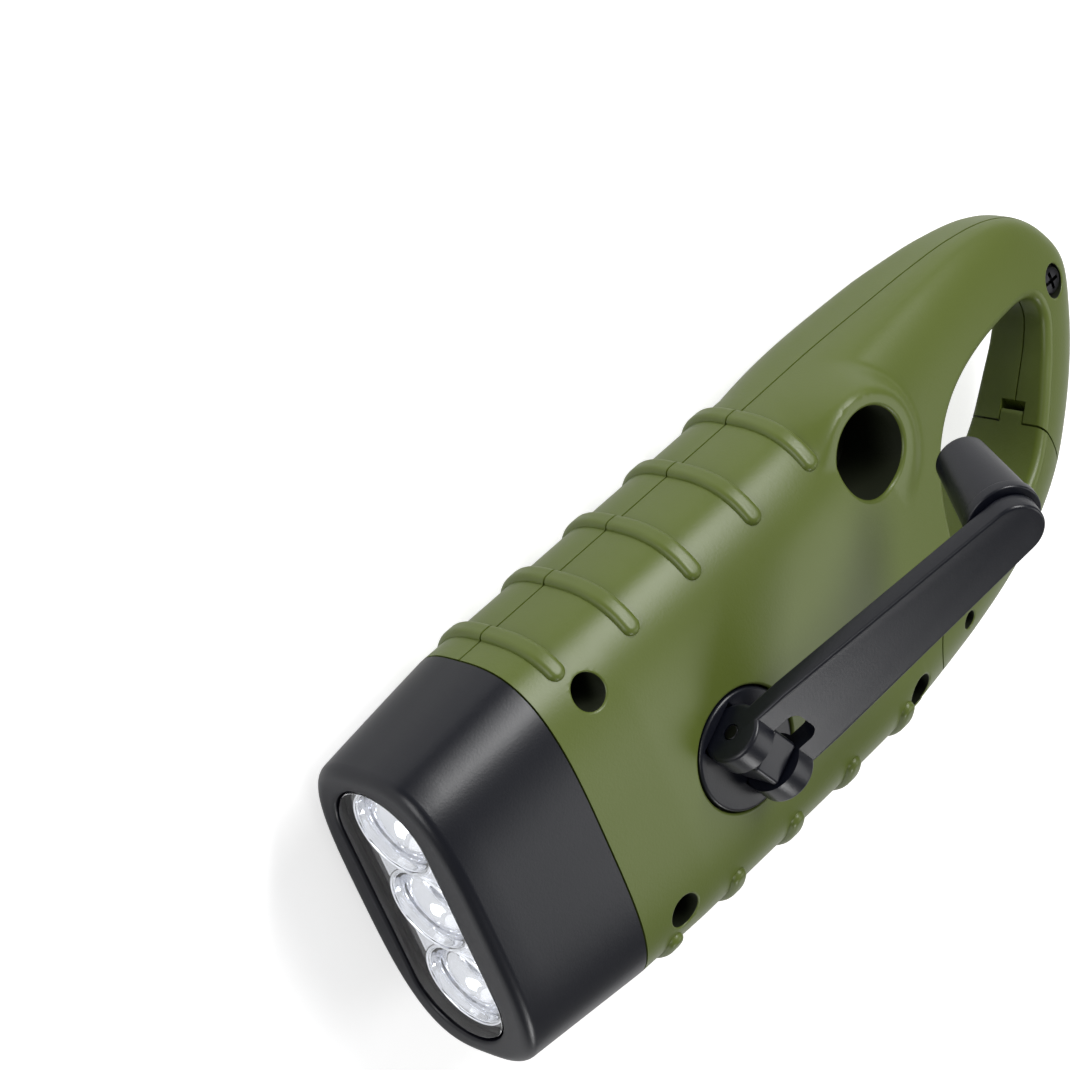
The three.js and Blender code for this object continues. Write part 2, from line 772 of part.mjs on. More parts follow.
function solarSideShell(shells) {
  const highPart = body.partingZ - gap / 2;
  const lower = block(-body.loopLength, body.loopLength, 0, tailY + overrun, -overrun, highPart);
  const posts = caseScrews.map(({ x, y }) => column(screwHole.postRadius, 0, highPart, x, y));
  const trayBlock = prism(frameOutline(gap + tray.wall), 0, level.trayTop);
  const inner = join(...posts, trayBlock).intersect(shells.blank);
  const shell = join(shells.hollow.intersect(lower), inner.intersect(lower));
  const boardX = boardPlace();
  const grips = [button.y + tact.size / 2 + gap, mainBoard.highY - 2 * mainBoard.grip].map((y) => {
    const edge = gap + tray.wall;
    const lowX = boardX - edge;
    const highX = boardX + mainBoard.thickness + edge;
    const top = level.trayTop + mainBoard.grip;
    const farY = y + mainBoard.grip;
    const slotX = boardX + mainBoard.thickness + gap;
    const clamp = block(lowX, highX, y, farY, level.trayLow + gap, top);
    return cut(clamp, block(boardX - gap, slotX, y - gap, farY + gap, level.trayTop, top + gap));
  });
  const pilots = caseScrews.map(({ x, y, seatZ, length }) => {
    return column(screw.shankRadius + gap, seatZ - length - gap, highPart + gap, x, y);
  });
  const leads = leadPlaces().map(([x, y]) => column(frame.leadRadius, 0, level.trayTop + gap, x, y));
  const tabTop = tab.z + tab.height;
  const tabDisc = column(tab.radius, tab.z, tabTop, gate.x, gate.y);
  const tabPlate = tabNeck(tab.neckWidth, 0, tab.z, tabTop);
  const cutters = [
    ...pilots,
    ...leads,
    prism(frameOutline(gap), -overrun, level.trayLow),
    bar(button.radius + gap, button.flangeX, body.halfWidth + 2 * overrun, button.y, button.z),
  ];
  const bored = cut(join(cut(shell, shells.clearance), ...grips), ...cutters);
  const pinHole = column(pin.radius + runningGap, 0, highPart, gate.x, gate.y);
  addNode('solar_side_shell', cut(join(bored, tabDisc, tabPlate), pinHole), look.green);
}

function headBezel() {
  const outerPlaces = [
    [0, head.edge],
    [head.edge / 4, head.edge / 3],
    [head.edge, 0],
    [body.seamY / 2, 0],
    [body.seamY, 0],
  ];
  const outer = loft(outerPlaces.map(([y, inset]) => headRing(y, inset)));
  const grooveY = body.seamY - neck.length + neck.length / 3;
  const deep = wall - head.grooveDepth;
  const innerPlaces = [
    [head.frontWall, wall],
    [grooveY - gap, wall],
    [grooveY + gap / 2, deep],
    [grooveY + head.grooveWidth, deep],
    [grooveY + head.grooveWidth + 2 * gap, wall],
    [body.seamY + overrun, wall],
  ];
  const inner = loft(innerPlaces.map(([y, inset]) => headRing(y, inset)));
  const opening = standingPrism(lensOutline(0), -overrun, head.frontWall + overrun);
  addNode('head_bezel', cut(outer, inner, opening), look.black);
}

function lampPlaces() {
  return Array.from({ length: lamp.count }, (unused, index) => {
    return (index - (lamp.count - 1) / 2) * reflector.pitch;
  });
}

// Places along Y inside the head, front to back
const inHead = {};
inHead.lensFront = lens.recess;
inHead.flangeFront = head.frontWall + gap;
inHead.flangeBack = inHead.flangeFront + lens.flangeThickness;
inHead.reflectorFront = inHead.flangeBack + gap;
inHead.boardBack = body.seamY - neck.length - gap;
inHead.boardFront = inHead.boardBack - lampBoard.thickness;
inHead.footBack = inHead.boardFront - gap;
inHead.footFront = inHead.footBack - lamp.foot;
inHead.reflectorBack = inHead.footFront - gap;

function lightUnit() {
  const boss = standingPrism(lensOutline(-gap), inHead.lensFront, inHead.flangeFront + gap);
  const flange = standingPrism(lensOutline(lens.flange), inHead.flangeFront, inHead.flangeBack);
  addNode('lens', join(boss, flange), look.clear);

  const front = inHead.reflectorFront;
  const deep = front + reflector.cupDepth;
  const back = inHead.reflectorBack;
  const { cupRadius, holeRadius } = reflector;
  const middleRadius = holeRadius + (cupRadius - holeRadius) * reflector.middleShare;
  const skinWall = reflector.wall;
  const cups = lampPlaces().map((x) => {
    const profile = [
      [0, front],
      [cupRadius + skinWall, front],
      [middleRadius + skinWall, front + reflector.cupDepth / 2],
      [holeRadius + skinWall, deep],
      [holeRadius + skinWall, back],
      [0, back],
    ];
    return spunY(profile, x, head.openZ);
  });
  const bowls = lampPlaces().map((x) => {
    const profile = [
      [0, front - overrun],
      [cupRadius, front - overrun],
      [cupRadius, front],
      [middleRadius, front + reflector.cupDepth / 2],
      [holeRadius, deep],
      [holeRadius, back + overrun],
      [0, back + overrun],
    ];
    return spunY(profile, x, head.openZ);
  });
  const plate = standingPrism(lensOutline(0), front, front + reflector.plate);
  addNode('reflector', cut(join(plate, ...cups), ...bowls), look.chrome);

  lampPlaces().forEach((x, index) => {
    const tip = inHead.footFront - lamp.height;
    const dome = Array.from({ length: 5 }, (unused, step) => {
      const angle = (step / 4) * 90 * degree;
      return [lamp.radius * Math.sin(angle), tip + lamp.radius * (1 - Math.cos(angle))];
    });
    const profile = [
      ...dome,
      [lamp.radius, inHead.footFront],
      [lamp.footRadius, inHead.footFront],
      [lamp.footRadius, inHead.footBack],
      [0, inHead.footBack],
    ];
    addNode(`led_${index + 1}`, spunY(profile, x, head.openZ, 16), look.clear);
  });

  const outline = Array.from({ length: lampBoard.steps }, (unused, index) => {
    const angle = (index / lampBoard.steps) * 2 * Math.PI;
    const power = 2 / lampBoard.exponent;
    const across = Math.abs(Math.cos(angle)) ** power * Math.sign(Math.cos(angle));
    const up = Math.abs(Math.sin(angle)) ** power * Math.sign(Math.sin(angle));
    return [across * lampBoard.halfWidth, head.openZ + up * lampBoard.halfHeight];
  });
  addNode('led_board', standingPrism(outline, inHead.boardFront, inHead.boardBack), look.board);
}

// Holes for the solar cell's leads
function leadPlaces() {
  const x = cell.halfWidth / 2;
  const y = (cell.frontY + cell.rearY) / 2;
  return [
    [x, y],
    [-x, y],
  ];
}

function solarPanel() {
  const seat = cell.depth + cell.thickness + gap;
  const half = cell.halfWidth + gap;
  const leads = leadPlaces().map(([x, y]) => {
    return column(frame.leadRadius, 0, frame.height + gap, x, y, frame.leadRadius, smallSteps);
  });
  const surround = cut(
    prism(frameOutline(0), 0, frame.height),
    prism(frameOutline(-frame.rimWidth), -overrun, frame.step),
    block(-half, half, cell.frontY - gap, cell.rearY + gap, -overrun, seat),
    ...leads,
  );
  addNode('solar_frame', surround, look.black);
  const { halfWidth, frontY, rearY, depth, thickness } = cell;
  addNode('solar_cell', block(-halfWidth, halfWidth, frontY, rearY, depth, depth + thickness), look.cell);
}

function gateGroup() {
  const limb = bodyBlank(body.seamY + gap, 0).intersect(gateZone(0, 0));
  const tongueLow = gate.tongueZ;
  const tongueHigh = gate.tongueZ + gate.tongueHeight;
  const tongue = gateSector(
    gate.tipRadius - overrun,
    gate.tipRadius + gate.tongueLength,
    gate.tongueLowAngle,
    gate.tongueHighAngle,
    tongueLow,
    tongueHigh,
  );
  const opening = prism(openingOutline, -overrun, highZ);
  const slotLow = tab.z - gap;
  const neckHigh = tab.z + tab.height + gap;
  const springRoom = spring.turns * spring.pitch + 2 * spring.wire + gap;
  const slotHigh = neckHigh + springRoom;
  const sweepSteps = 5;
  const sweep = Array.from({ length: sweepSteps }, (unused, index) => {
    const turn = (-gate.swing * index) / (sweepSteps - 1);
    return tabNeck(tab.neckWidth + 2 * gap, turn, slotLow, neckHigh);
  });
  const cutters = [
    column(tab.radius + gap, slotLow, slotHigh, gate.x, gate.y),
    ...sweep,
    column(pin.radius + runningGap, -overrun, highZ, gate.x, gate.y),
  ];
  addNode('gate', cut(cut(join(limb, tongue), opening), ...cutters), look.green);

  const top = crankHeight(gate.y) - 4 * pin.sink;
  addNode('gate_pin', column(pin.radius, solarHeight(gate.y) + pin.sink, top, gate.x, gate.y), look.steel);
  const startZ = neckHigh + spring.wire;
  addNode('gate_spring', helix(gate.x, gate.y, startZ), look.steel);
}

// Wound wire about an upright line, one unbroken tube with closed ends
function helix(x, y, lowZ) {
  const count = Math.round(spring.turns * spring.steps);
  const centres = Array.from({ length: count + 1 }, (unused, index) => {
    const angle = (index / spring.steps) * 2 * Math.PI;
    const z = lowZ + (index / spring.steps) * spring.pitch;
    return new THREE.Vector3(x + spring.radius * Math.cos(angle), y + spring.radius * Math.sin(angle), z);
  });
  const points = [];
  centres.forEach((centre, index) => {
    const outward = new THREE.Vector3(centre.x - x, centre.y - y, 0).normalize();
    for (let side = 0; side < spring.sides; side += 1) {
      const angle = (side / spring.sides) * 2 * Math.PI;
      const point = centre.clone().addScaledVector(outward, spring.wire * Math.cos(angle));
      point.z += spring.wire * Math.sin(angle);
      points.push([point.x, point.y, point.z]);
    }
  });
  const faces = [];
  for (let row = 0; row < count; row += 1) {
    for (let side = 0; side < spring.sides; side += 1) {
      const next = (side + 1) % spring.sides;
      const low = row * spring.sides;
      pushQuad(faces, low + side, low + spring.sides + side, low + spring.sides + next, low + next);
    }
  }
  const last = count * spring.sides;
  for (let side = 1; side + 1 < spring.sides; side += 1) {
    faces.push(0, side, side + 1);
    faces.push(last, last + side + 1, last + side);
  }
  const least = centres.reduce((best, centre, index) => {
    const far = centres.slice(index + spring.steps / 2);
    return Math.min(best, ...far.map((other) => other.distanceTo(centre) - 2 * spring.wire));
  }, Infinity);
  console.log(`gate spring: least gap to itself ${least.toFixed(2)} mm`);
  return skin(points, faces);
}

function caseScrewSet() {
  caseScrews.forEach(({ x, y, seatZ, length }, index) => {
    const low = seatZ + gap;
    const high = low + screw.headHeight;
    const slot = block(
      x - screw.headRadius,
      x + screw.headRadius,
      y - screw.slotWidth / 2,
      y + screw.slotWidth / 2,
      high - screw.slotDepth,
      high + gap,
    );
    const shape = join(
      column(screw.headRadius, low, high, x, y, screw.headRadius, roundSteps),
      column(screw.shankRadius, low - length, low + gap, x, y, screw.shankRadius, smallSteps),
    );
    addNode(`case_screw_${index + 1}`, cut(shape, slot), look.steel);
  });
}

// Screw put in from below: its head's upper face is at a height
function risingScrew(size, headHigh, x, y) {
  const { headRadius, headHeight, shankRadius, shankLength } = size;
  return join(
    column(headRadius, headHigh - headHeight, headHigh, x, y, headRadius, smallSteps),
    column(shankRadius, headHigh - gap, headHigh + shankLength, x, y, shankRadius, smallSteps),
  );
}

// Spur gear about an upright axis with flanks that follow an unwinding thread
function gear(teeth, addendumShare, lowZ, highZ, boreRadius, turn = 0) {
  const pitchRadius = (teeth * train.module) / 2;
  const baseRadius = pitchRadius * Math.cos(train.pressureAngle * degree);
  const tipRadius = pitchRadius + addendumShare * train.module;
  const rootRadius = pitchRadius - train.dedendumShare * train.module;
  const spread = (radius) => {
    const ratio = Math.min(1, baseRadius / radius);
    return Math.tan(Math.acos(ratio)) - Math.acos(ratio);
  };
  const halfTooth = (train.toothShare * Math.PI) / teeth;
  const radii = [rootRadius, pitchRadius, tipRadius];
  const outline = [];
  for (let tooth = 0; tooth < teeth; tooth += 1) {
    const middle = turn * degree + (tooth / teeth) * 2 * Math.PI;
    const flank = radii.map((radius) => [radius, halfTooth + spread(pitchRadius) - spread(radius)]);
    flank.forEach(([radius, angle]) => outline.push([radius, middle - angle]));
    [...flank].reverse().forEach(([radius, angle]) => outline.push([radius, middle + angle]));
  }
  const points = outline.map(([radius, angle]) => [radius * Math.cos(angle), radius * Math.sin(angle)]);
  return cut(prism(points, lowZ, highZ), column(boreRadius, lowZ - gap, highZ + gap));
}

// Places a gear so that a tooth, or a space between teeth, points along an angle
function addGear(name, shape, place, teeth, angle, toothFirst, surface) {
  const turn = angle * degree + (toothFirst ? 0 : Math.PI / teeth);
  const mesh = addNode(name, shape, surface);
  mesh.position.set(place[0], place[1], 0);
  mesh.rotation.z = turn;
  return mesh;
}

function gearTrain() {
  const { crankTeeth, pinionTeeth, wheelTeeth, wheelAddendumShare, pinionAddendumShare } = train;
  const bore = hubShaft(runningGap, level.crankGearLow - gap, level.crankGearHigh + gap, 0);
  const { crankGearLow, crankGearHigh } = level;
  const toothed = gear(crankTeeth, wheelAddendumShare, crankGearLow, crankGearHigh, hub.shaftRadius / 2);
  const crankWheel = cut(toothed, bore);
  addGear('crank_gear', crankWheel, [crank.x, crank.y], crankTeeth, train.idlerAngle, true, look.white);

  const axleHole = train.axleRadius + runningGap;
  const wheel = gear(wheelTeeth, wheelAddendumShare, level.wheelLow, level.wheelHigh, axleHole);
  const pinionTurn = train.idlerAngle + 180 - train.generatorAngle + 180 / pinionTeeth;
  const pinionLow = level.wheelHigh - gap;
  const pinion = gear(pinionTeeth, pinionAddendumShare, pinionLow, level.crankGearHigh, axleHole, pinionTurn);
  const idler = join(wheel, pinion);
  addGear('idler_gear', idler, idlerPlace, wheelTeeth, train.generatorAngle, true, look.white);
  const axleLow = level.plateLow + gap;
  addNode('idler_axle', column(train.axleRadius, axleLow, level.discLow - gap, ...idlerPlace), look.steel);

  const small = gear(pinionTeeth, pinionAddendumShare, level.wheelLow, level.wheelHigh, axleHole);
  const towardsIdler = train.generatorAngle + 180;
  addGear('generator_pinion', small, generatorPlace, pinionTeeth, towardsIdler, false, look.brass);

  const { lowX, highX, lowY, highY, corner } = gearPlate;
  const outline = [
    [lowX + corner, lowY], [highX - corner, lowY], [highX, lowY + corner], [highX, highY - corner],
    [highX - corner, highY], [lowX + corner, highY], [lowX, highY - corner], [lowX, lowY + corner],
  ];
  const holes = [
    column(train.axleRadius + runningGap, 0, highZ, ...idlerPlace),
    column(generator.nose + gap, 0, highZ, ...generatorPlace),
    ...platePosts.map(([x, y]) => column(plateScrew.shankRadius + gap, 0, highZ, x, y)),
  ];
  addNode('gear_plate', cut(prism(outline, level.plateLow, level.plateHigh), ...holes), look.steel);
  platePosts.forEach(([x, y], index) => {
    addNode(`plate_screw_${index + 1}`, risingScrew(plateScrew, level.plateLow - gap, x, y), look.steel);
  });
}

function generatorUnit() {
  const [x, y] = generatorPlace;
  const capLow = level.trayTop + gap;
  const capHigh = capLow + generator.cap;
  const low = capHigh + gap;
  const high = level.plateLow - gap;
  const inner = generator.radius - generator.wall;
  const shaftHole = train.axleRadius + runningGap;
  const can = join(
    column(generator.radius, low, high, x, y),
    column(generator.nose, high - gap, level.plateHigh - gap, x, y),
  );
  const hollow = [
    column(inner, low - overrun, high - generator.wall, x, y),
    column(shaftHole, low, level.wheelHigh, x, y),
  ];
  addNode('generator_housing', cut(can, ...hollow), look.steel);
  const lid = cut(column(generator.radius, capLow, capHigh, x, y), column(shaftHole, 0, low, x, y));
  addNode('generator_cap', lid, look.black);
  const coilOuter = inner - gap;
  const coilLow = low + generator.endSpace;
  const coilHigh = high - generator.wall - generator.endSpace;
  const coil = cut(
    column(coilOuter, coilLow, coilHigh, x, y),
    column(coilOuter - generator.coilThickness, 0, highZ, x, y),
  );
  addNode('generator_coil', coil, look.copper);
  const rotor = join(
    column(generator.magnetRadius, coilLow, coilHigh, x, y),
    column(train.axleRadius, capLow + gap, level.wheelHigh, x, y),
  );
  addNode('generator_rotor', rotor, look.magnet);
}

// Lower end of the hub's shaft, with two flats that drive the gear, turned by an angle
function hubShaft(clearance, lowZ, highZ, turn) {
  const radius = hub.shaftRadius + clearance;
  const across = 2 * (hub.flatHalfWidth + clearance);
  const flats = new THREE.BoxGeometry(across, 2 * radius, highZ - lowZ + 2 * gap);
  flats.translate(0, 0, (lowZ + highZ) / 2);
  flats.rotateZ(turn * degree);
  return column(radius, lowZ, highZ).intersect(solid(flats));
}

function crankUnit() {
  const turning = new THREE.Group();
  turning.position.set(crank.x, crank.y, 0);
  turning.rotation.z = heading;
  part.add(turning);

  const half = hub.knuckleWidth / 2;
  const lugReach = arm.rootHalfWidth + gap;
  const pocketRadius = arm.lugRadius + gap;
  const pockets = [
    bar(pocketRadius, half, lugReach, 0, crank.pivotZ),
    bar(pocketRadius, -lugReach, -half, 0, crank.pivotZ),
  ];
  const knuckle = join(
    bar(hub.knuckleRadius, -half, half, 0, crank.pivotZ),
    block(-half, half, -hub.knuckleRadius, hub.knuckleRadius, level.discTop - overrun, crank.pivotZ),
  );
  const disc = column(hub.discRadius, level.discLow, level.discTop, 0, 0, hub.discRadius, hub.discSteps);
  const turnTable = cut(disc, ...pockets);
  const gearAngle = train.idlerAngle - crank.heading;
  const shaftEnd = hubShaft(0, level.crankGearLow, level.recessUnder, gearAngle);
  const shaft = join(shaftEnd, column(hub.shaftRadius, level.recessUnder - gap, level.discLow + gap));
  const holes = [
    bar(foldPin.radius + runningGap, -lugReach, lugReach, 0, crank.pivotZ),
    column(hubScrew.shankRadius + gap, level.crankGearLow - gap, level.crankGearLow + hubScrew.shankLength),
  ];
  addNode('crank_hub', cut(join(turnTable, knuckle, shaft), ...holes), look.black, turning);
  const pinShape = bar(foldPin.radius, -arm.rootHalfWidth, arm.rootHalfWidth, 0, crank.pivotZ);
  addNode('fold_pin', pinShape, look.steel, turning);

  const washerHigh = level.crankGearLow - gap;
  const washerLow = washerHigh - hubScrew.washer;
  const washerHole = column(hubScrew.shankRadius + gap, 0, highZ);
  const washer = cut(column(hubScrew.washerRadius, washerLow, washerHigh), washerHole);
  addNode('hub_washer', washer, look.steel, turning);
  const headHigh = washerLow - gap;
  addNode('hub_screw', risingScrew(hubScrew, headHigh, 0, 0), look.steel, turning);

  const folding = new THREE.Group();
  folding.position.set(0, 0, crank.pivotZ);
  folding.rotation.x = crank.lift * degree;
  turning.add(folding);
  armPieces(folding);
}

function armPieces(folding) {
  const end = crank.reach;
  const halfDepth = arm.thickness / 2;
  const outline = [
    [arm.rootHalfWidth, 0],
    [arm.rootHalfWidth, arm.shoulder],
    ...arc(0, end, arm.tipHalfWidth, 0, 180, 12),
    [-arm.rootHalfWidth, arm.shoulder],
    [-arm.rootHalfWidth, 0],
  ];
  const knobHigh = -halfDepth - gap;
  const knobLow = knobHigh - knob.length;
  const stubLow = knobLow + knob.stubEnd;
  const windowHalf = hub.knuckleWidth / 2 + gap;
  const reach = arm.lugRadius + overrun;
  const barShape = join(
    prism(outline, -halfDepth, halfDepth),
    bar(arm.lugRadius, -arm.rootHalfWidth, arm.rootHalfWidth, 0, 0),
    column(knob.stubRadius, stubLow, 0, 0, end),
  );
  const cutters = [
    block(-windowHalf, windowHalf, -reach, arm.windowReach, -reach, reach),
    bar(foldPin.radius + runningGap, -2 * arm.rootHalfWidth, 2 * arm.rootHalfWidth, 0, 0),
    column(knobScrew.shankRadius + gap, stubLow - gap, stubLow + knobScrew.shankLength, 0, end),
  ];
  addNode('crank_arm', cut(barShape, ...cutters), look.black, folding);

  const grip = join(
    column(knob.collarRadius, knobHigh - knob.collarHeight, knobHigh, 0, end),
    column(knob.endRadius, knobLow, knobHigh - knob.collarHeight + gap, 0, end, knob.radius),
  );
  const bores = [
    column(knob.stubRadius + runningGap, knobLow - gap, knobHigh + gap, 0, end),
    column(knobScrew.headRadius + gap, knobLow - gap, stubLow, 0, end),
  ];
  addNode('crank_knob', cut(grip, ...bores), look.black, folding);
  const headHigh = stubLow - gap;
  addNode('knob_screw', risingScrew(knobScrew, headHigh, 0, end), look.steel, folding);
}

// Near face of the main board, set back from the button by the switch
function boardPlace() {
  return button.flangeX - gap - tact.plungerOut - tact.depth - gap - mainBoard.thickness;
}

function powerSwitch() {
  const flangeHigh = button.flangeX + button.flange;
  const crownStart = button.top - button.crown;
  const cap = join(
    bar(button.flangeRadius, button.flangeX, flangeHigh, button.y, button.z),
    bar(button.radius, flangeHigh - gap, crownStart, button.y, button.z),
    bar(button.radius - button.crown, crownStart - gap, button.top, button.y, button.z, button.radius),
  );
  addNode('button_cap', cap, look.black);
  const plungerHigh = button.flangeX - gap;
  const caseHigh = plungerHigh - tact.plungerOut;
  const plungerLow = caseHigh - tact.plungerSeat + button.travel;
  const half = tact.size / 2;
  const { y, z } = button;
  const housing = block(caseHigh - tact.depth, caseHigh, y - half, y + half, z - half, z + half);
  const hole = bar(tact.plungerRadius + gap, plungerLow - button.travel - gap, caseHigh + gap, y, z);
  addNode('tact_switch', cut(housing, hole), look.black);
  addNode('tact_plunger', bar(tact.plungerRadius, plungerLow, plungerHigh, y, z), look.white);
  const boardX = boardPlace();
  const { thickness, lowY, highY, height } = mainBoard;
  const lowZ = level.trayTop + gap;
  addNode('main_board', block(boardX, boardX + thickness, lowY, highY, lowZ, lowZ + height), look.board);
}

function batteryPack() {
  const length = battery.count * battery.thickness + (battery.count - 1) * gap;
  const lowX = battery.x - length / 2;
  for (let index = 0; index < battery.count; index += 1) {
    const start = lowX + index * (battery.thickness + gap);
    const coin = bar(battery.radius, start, start + battery.thickness, battery.y, batteryZ());
    addNode(`battery_cell_${index + 1}`, coin, look.steel);
  }
  const outerY = battery.radius + gap + cradle.wall;
  const edge = gap + cradle.wall;
  const lowZ = level.trayTop + gap;
  const highX = lowX + length + edge;
  const base = block(lowX - edge, highX, battery.y - outerY, battery.y + outerY, lowZ, batteryZ() - gap);
  const space = bar(battery.radius + gap, lowX - gap, lowX + length + gap, battery.y, batteryZ());
  addNode('battery_cradle', cut(base, space), look.white);
}

function batteryZ() {
  return level.trayTop + gap + cradle.wall + gap + battery.radius;
}

const shells = shellBlank();
crankSideShell(shells);
solarSideShell(shells);
headBezel();
lightUnit();
solarPanel();
gateGroup();
caseScrewSet();
gearTrain();
generatorUnit();
crankUnit();
powerSwitch();
batteryPack();

// The origin goes to the middle of the part's underside
const box = new THREE.Box3().setFromObject(part);
part.position.set(-(box.min.x + box.max.x) / 2, -(box.min.y + box.max.y) / 2, -box.min.z);
console.log(`shift ${part.position.toArray().map((value) => value.toFixed(4))}`);

export default part;
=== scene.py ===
import json
import math

import bmesh
import bpy
import numpy as np
from mathutils import Matrix, Vector


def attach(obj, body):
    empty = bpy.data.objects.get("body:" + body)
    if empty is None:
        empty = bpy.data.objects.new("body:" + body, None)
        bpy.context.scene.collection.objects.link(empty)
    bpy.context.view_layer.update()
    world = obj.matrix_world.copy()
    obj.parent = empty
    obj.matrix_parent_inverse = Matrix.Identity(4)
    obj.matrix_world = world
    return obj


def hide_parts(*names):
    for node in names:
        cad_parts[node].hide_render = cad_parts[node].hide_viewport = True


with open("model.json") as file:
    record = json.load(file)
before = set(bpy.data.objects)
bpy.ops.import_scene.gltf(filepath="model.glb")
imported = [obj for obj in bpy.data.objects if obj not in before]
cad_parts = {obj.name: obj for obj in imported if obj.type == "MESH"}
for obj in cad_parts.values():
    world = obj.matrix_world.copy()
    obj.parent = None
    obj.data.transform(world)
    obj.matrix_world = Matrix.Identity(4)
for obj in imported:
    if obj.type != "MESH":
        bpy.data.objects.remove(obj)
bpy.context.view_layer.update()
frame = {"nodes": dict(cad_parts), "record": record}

# Everything is worked out in the maker's millimetres and moved to the frame at the end
toFrame = np.array([-0.2291, -73.4439, 0.0])
gap = 0.3
runningGap = 0.1
wall = 2.0
degree = math.pi / 180
fineSteps = 4000
roundSteps = 6

body = {
    "halfWidth": 27.2, "baseZ": 1.0, "crankZ": 33.0, "partingZ": 17.0, "seamY": 22.0, "seamCrankZ": 32.3,
    "seamHalfWidth": 27.1, "solarBendY": 82.0, "solarSlope": 0.16, "crankBendY": 78.0, "crankSlope": 0.1875,
    "bendRound": 6.0, "loopStartY": 84.0, "loopLength": 63.0, "fanLength": 33.0, "belt": 0.46,
    "solarPower": 2.5, "loopPower": 5.0, "crankPower": 3.3, "risePitch": 12.74, "around": 208, "along": 150,
    "denseY": 70.0, "denseRings": 60, "evenHalfWidth": 27, "evenUpper": 17, "evenLower": 15,
    "evenLowerPower": 3.4, "fanSkip": 0.3,
    "outline": [
        (0.993, 0), (0.978, 0.143), (0.956, 0.27), (0.893, 0.444), (0.79, 0.587), (0.625, 0.722),
        (0.423, 0.817), (0.165, 0.905), (-0.092, 0.965), (-0.368, 1), (-0.588, 0.965), (-0.772, 0.897),
        (-0.882, 0.81),
        (-0.949, 0.683), (-0.978, 0.54), (-0.993, 0.365), (-1.004, 0.19), (-1, 0),
    ],
    "opening": [
        (0.496, 0.251), (0.504, 0.302), (0.504, 0.381), (0.482, 0.47), (0.434, 0.543), (0.368, 0.605),
        (0.268, 0.66), (0.04, 0.743), (-0.114, 0.794), (-0.257, 0.825), (-0.375, 0.817), (-0.441, 0.768),
        (-0.474, 0.678), (-0.478, 0.56), (-0.449, 0.468), (-0.39, 0.394), (-0.301, 0.335), (-0.184, 0.29),
        (-0.037, 0.26), (0.173, 0.237), (0.379, 0.221), (0.463, 0.227),
    ],
}
body["tailY"] = body["loopStartY"] + body["loopLength"]
body["fanY"] = body["tailY"] - body["fanLength"]


# Meshes

def newObject(name, points, faces):
    mesh = bpy.data.meshes.new(name)
    placed = (np.asarray(points, float) + toFrame) / 1000
    mesh.from_pydata(placed.tolist(), [], [list(map(int, face)) for face in faces])
    mesh.update()
    made = bpy.data.objects.new(name, mesh)
    bpy.context.scene.collection.objects.link(made)
    return made


# Places of a mesh's vertices ("co") or faces ("center") in the maker's millimetres
def readPlaces(items, key):
    values = np.zeros(len(items) * 3)
    items.foreach_get(key, values)
    return values.reshape(-1, 3) * 1000 - toFrame


def writePlaces(made, places):
    made.data.vertices.foreach_set("co", ((places + toFrame) / 1000).ravel())
    made.data.update()
    return made


# Gives the chosen faces a second material
def paintFaces(made, material, chosen):
    made.data.materials.append(material)
    made.data.polygons.foreach_set("material_index", chosen.astype(np.int32))


# Length from the start of a run of points to each of them
def runLength(points):
    return np.concatenate([[0], np.cumsum(np.linalg.norm(np.diff(points, axis=0), axis=1))])


# Quads between the rows of a grid, each row closed on itself when wrap is set
def gridFaces(rows, columns, wrap):
    across = np.arange(columns if wrap else columns - 1)
    row, column = np.meshgrid(np.arange(rows - 1), across, indexing="ij")
    after = (column + 1) % columns
    low, high = row * columns, (row + 1) * columns
    return np.stack([low + column, low + after, high + after, high + column], -1).reshape(-1, 4)


# Closed tube through rings of points, flat at both ends; rings run so that their faces point out
def tube(name, rings):
    rings = np.asarray(rings, float)
    rows, columns = rings.shape[:2]
    faces = gridFaces(rows, columns, True).tolist()
    faces.append(list(range(columns))[::-1])
    faces.append([(rows - 1) * columns + index for index in range(columns)])
    return faceOutwards(newObject(name, rings.reshape(-1, 3), faces))


# Six times the enclosed volume tells which way a closed mesh faces
def faceOutwards(made):
    mesh = made.data
    mesh.calc_loop_triangles()
    corners = np.zeros(len(mesh.loop_triangles) * 3, np.int32)
    mesh.loop_triangles.foreach_get("vertices", corners)
    points = np.zeros(len(mesh.vertices) * 3)
    mesh.vertices.foreach_get("co", points)
    first, second, third = points.reshape(-1, 3)[corners.reshape(-1, 3)].transpose(1, 0, 2)
    if np.einsum("ij,ij->", first, np.cross(second, third)) < 0:
        mesh.flip_normals()
    return made


# Profile of radius and height turned about an axis through a place; the first and last radius may be zero
def spun(name, profile, centre, axis="z", steps=64):
    profile = np.asarray(profile, float)
    angles = np.linspace(0, 2 * math.pi, steps, endpoint=False)
    radius = np.maximum(profile[:, :1], 1e-3)
    across, up = radius * np.cos(angles), radius * np.sin(angles)
    height = np.repeat(profile[:, 1:], steps, 1)
    order = {"z": (across, up, height), "y": (across, height, up), "x": (height, across, up)}[axis]
    return tube(name, np.stack(order, -1) + np.asarray(centre, float))


# Profile with rounded ends: radius, and place along the axis from low to high
def turnedRun(radius, low, high, soft):
    turns = np.linspace(0, math.pi / 2, roundSteps)
    first = [(radius - soft * (1 - math.sin(turn)), low + soft * (1 - math.cos(turn))) for turn in turns]
    return first + [(around, low + high - place) for around, place in first[::-1]]


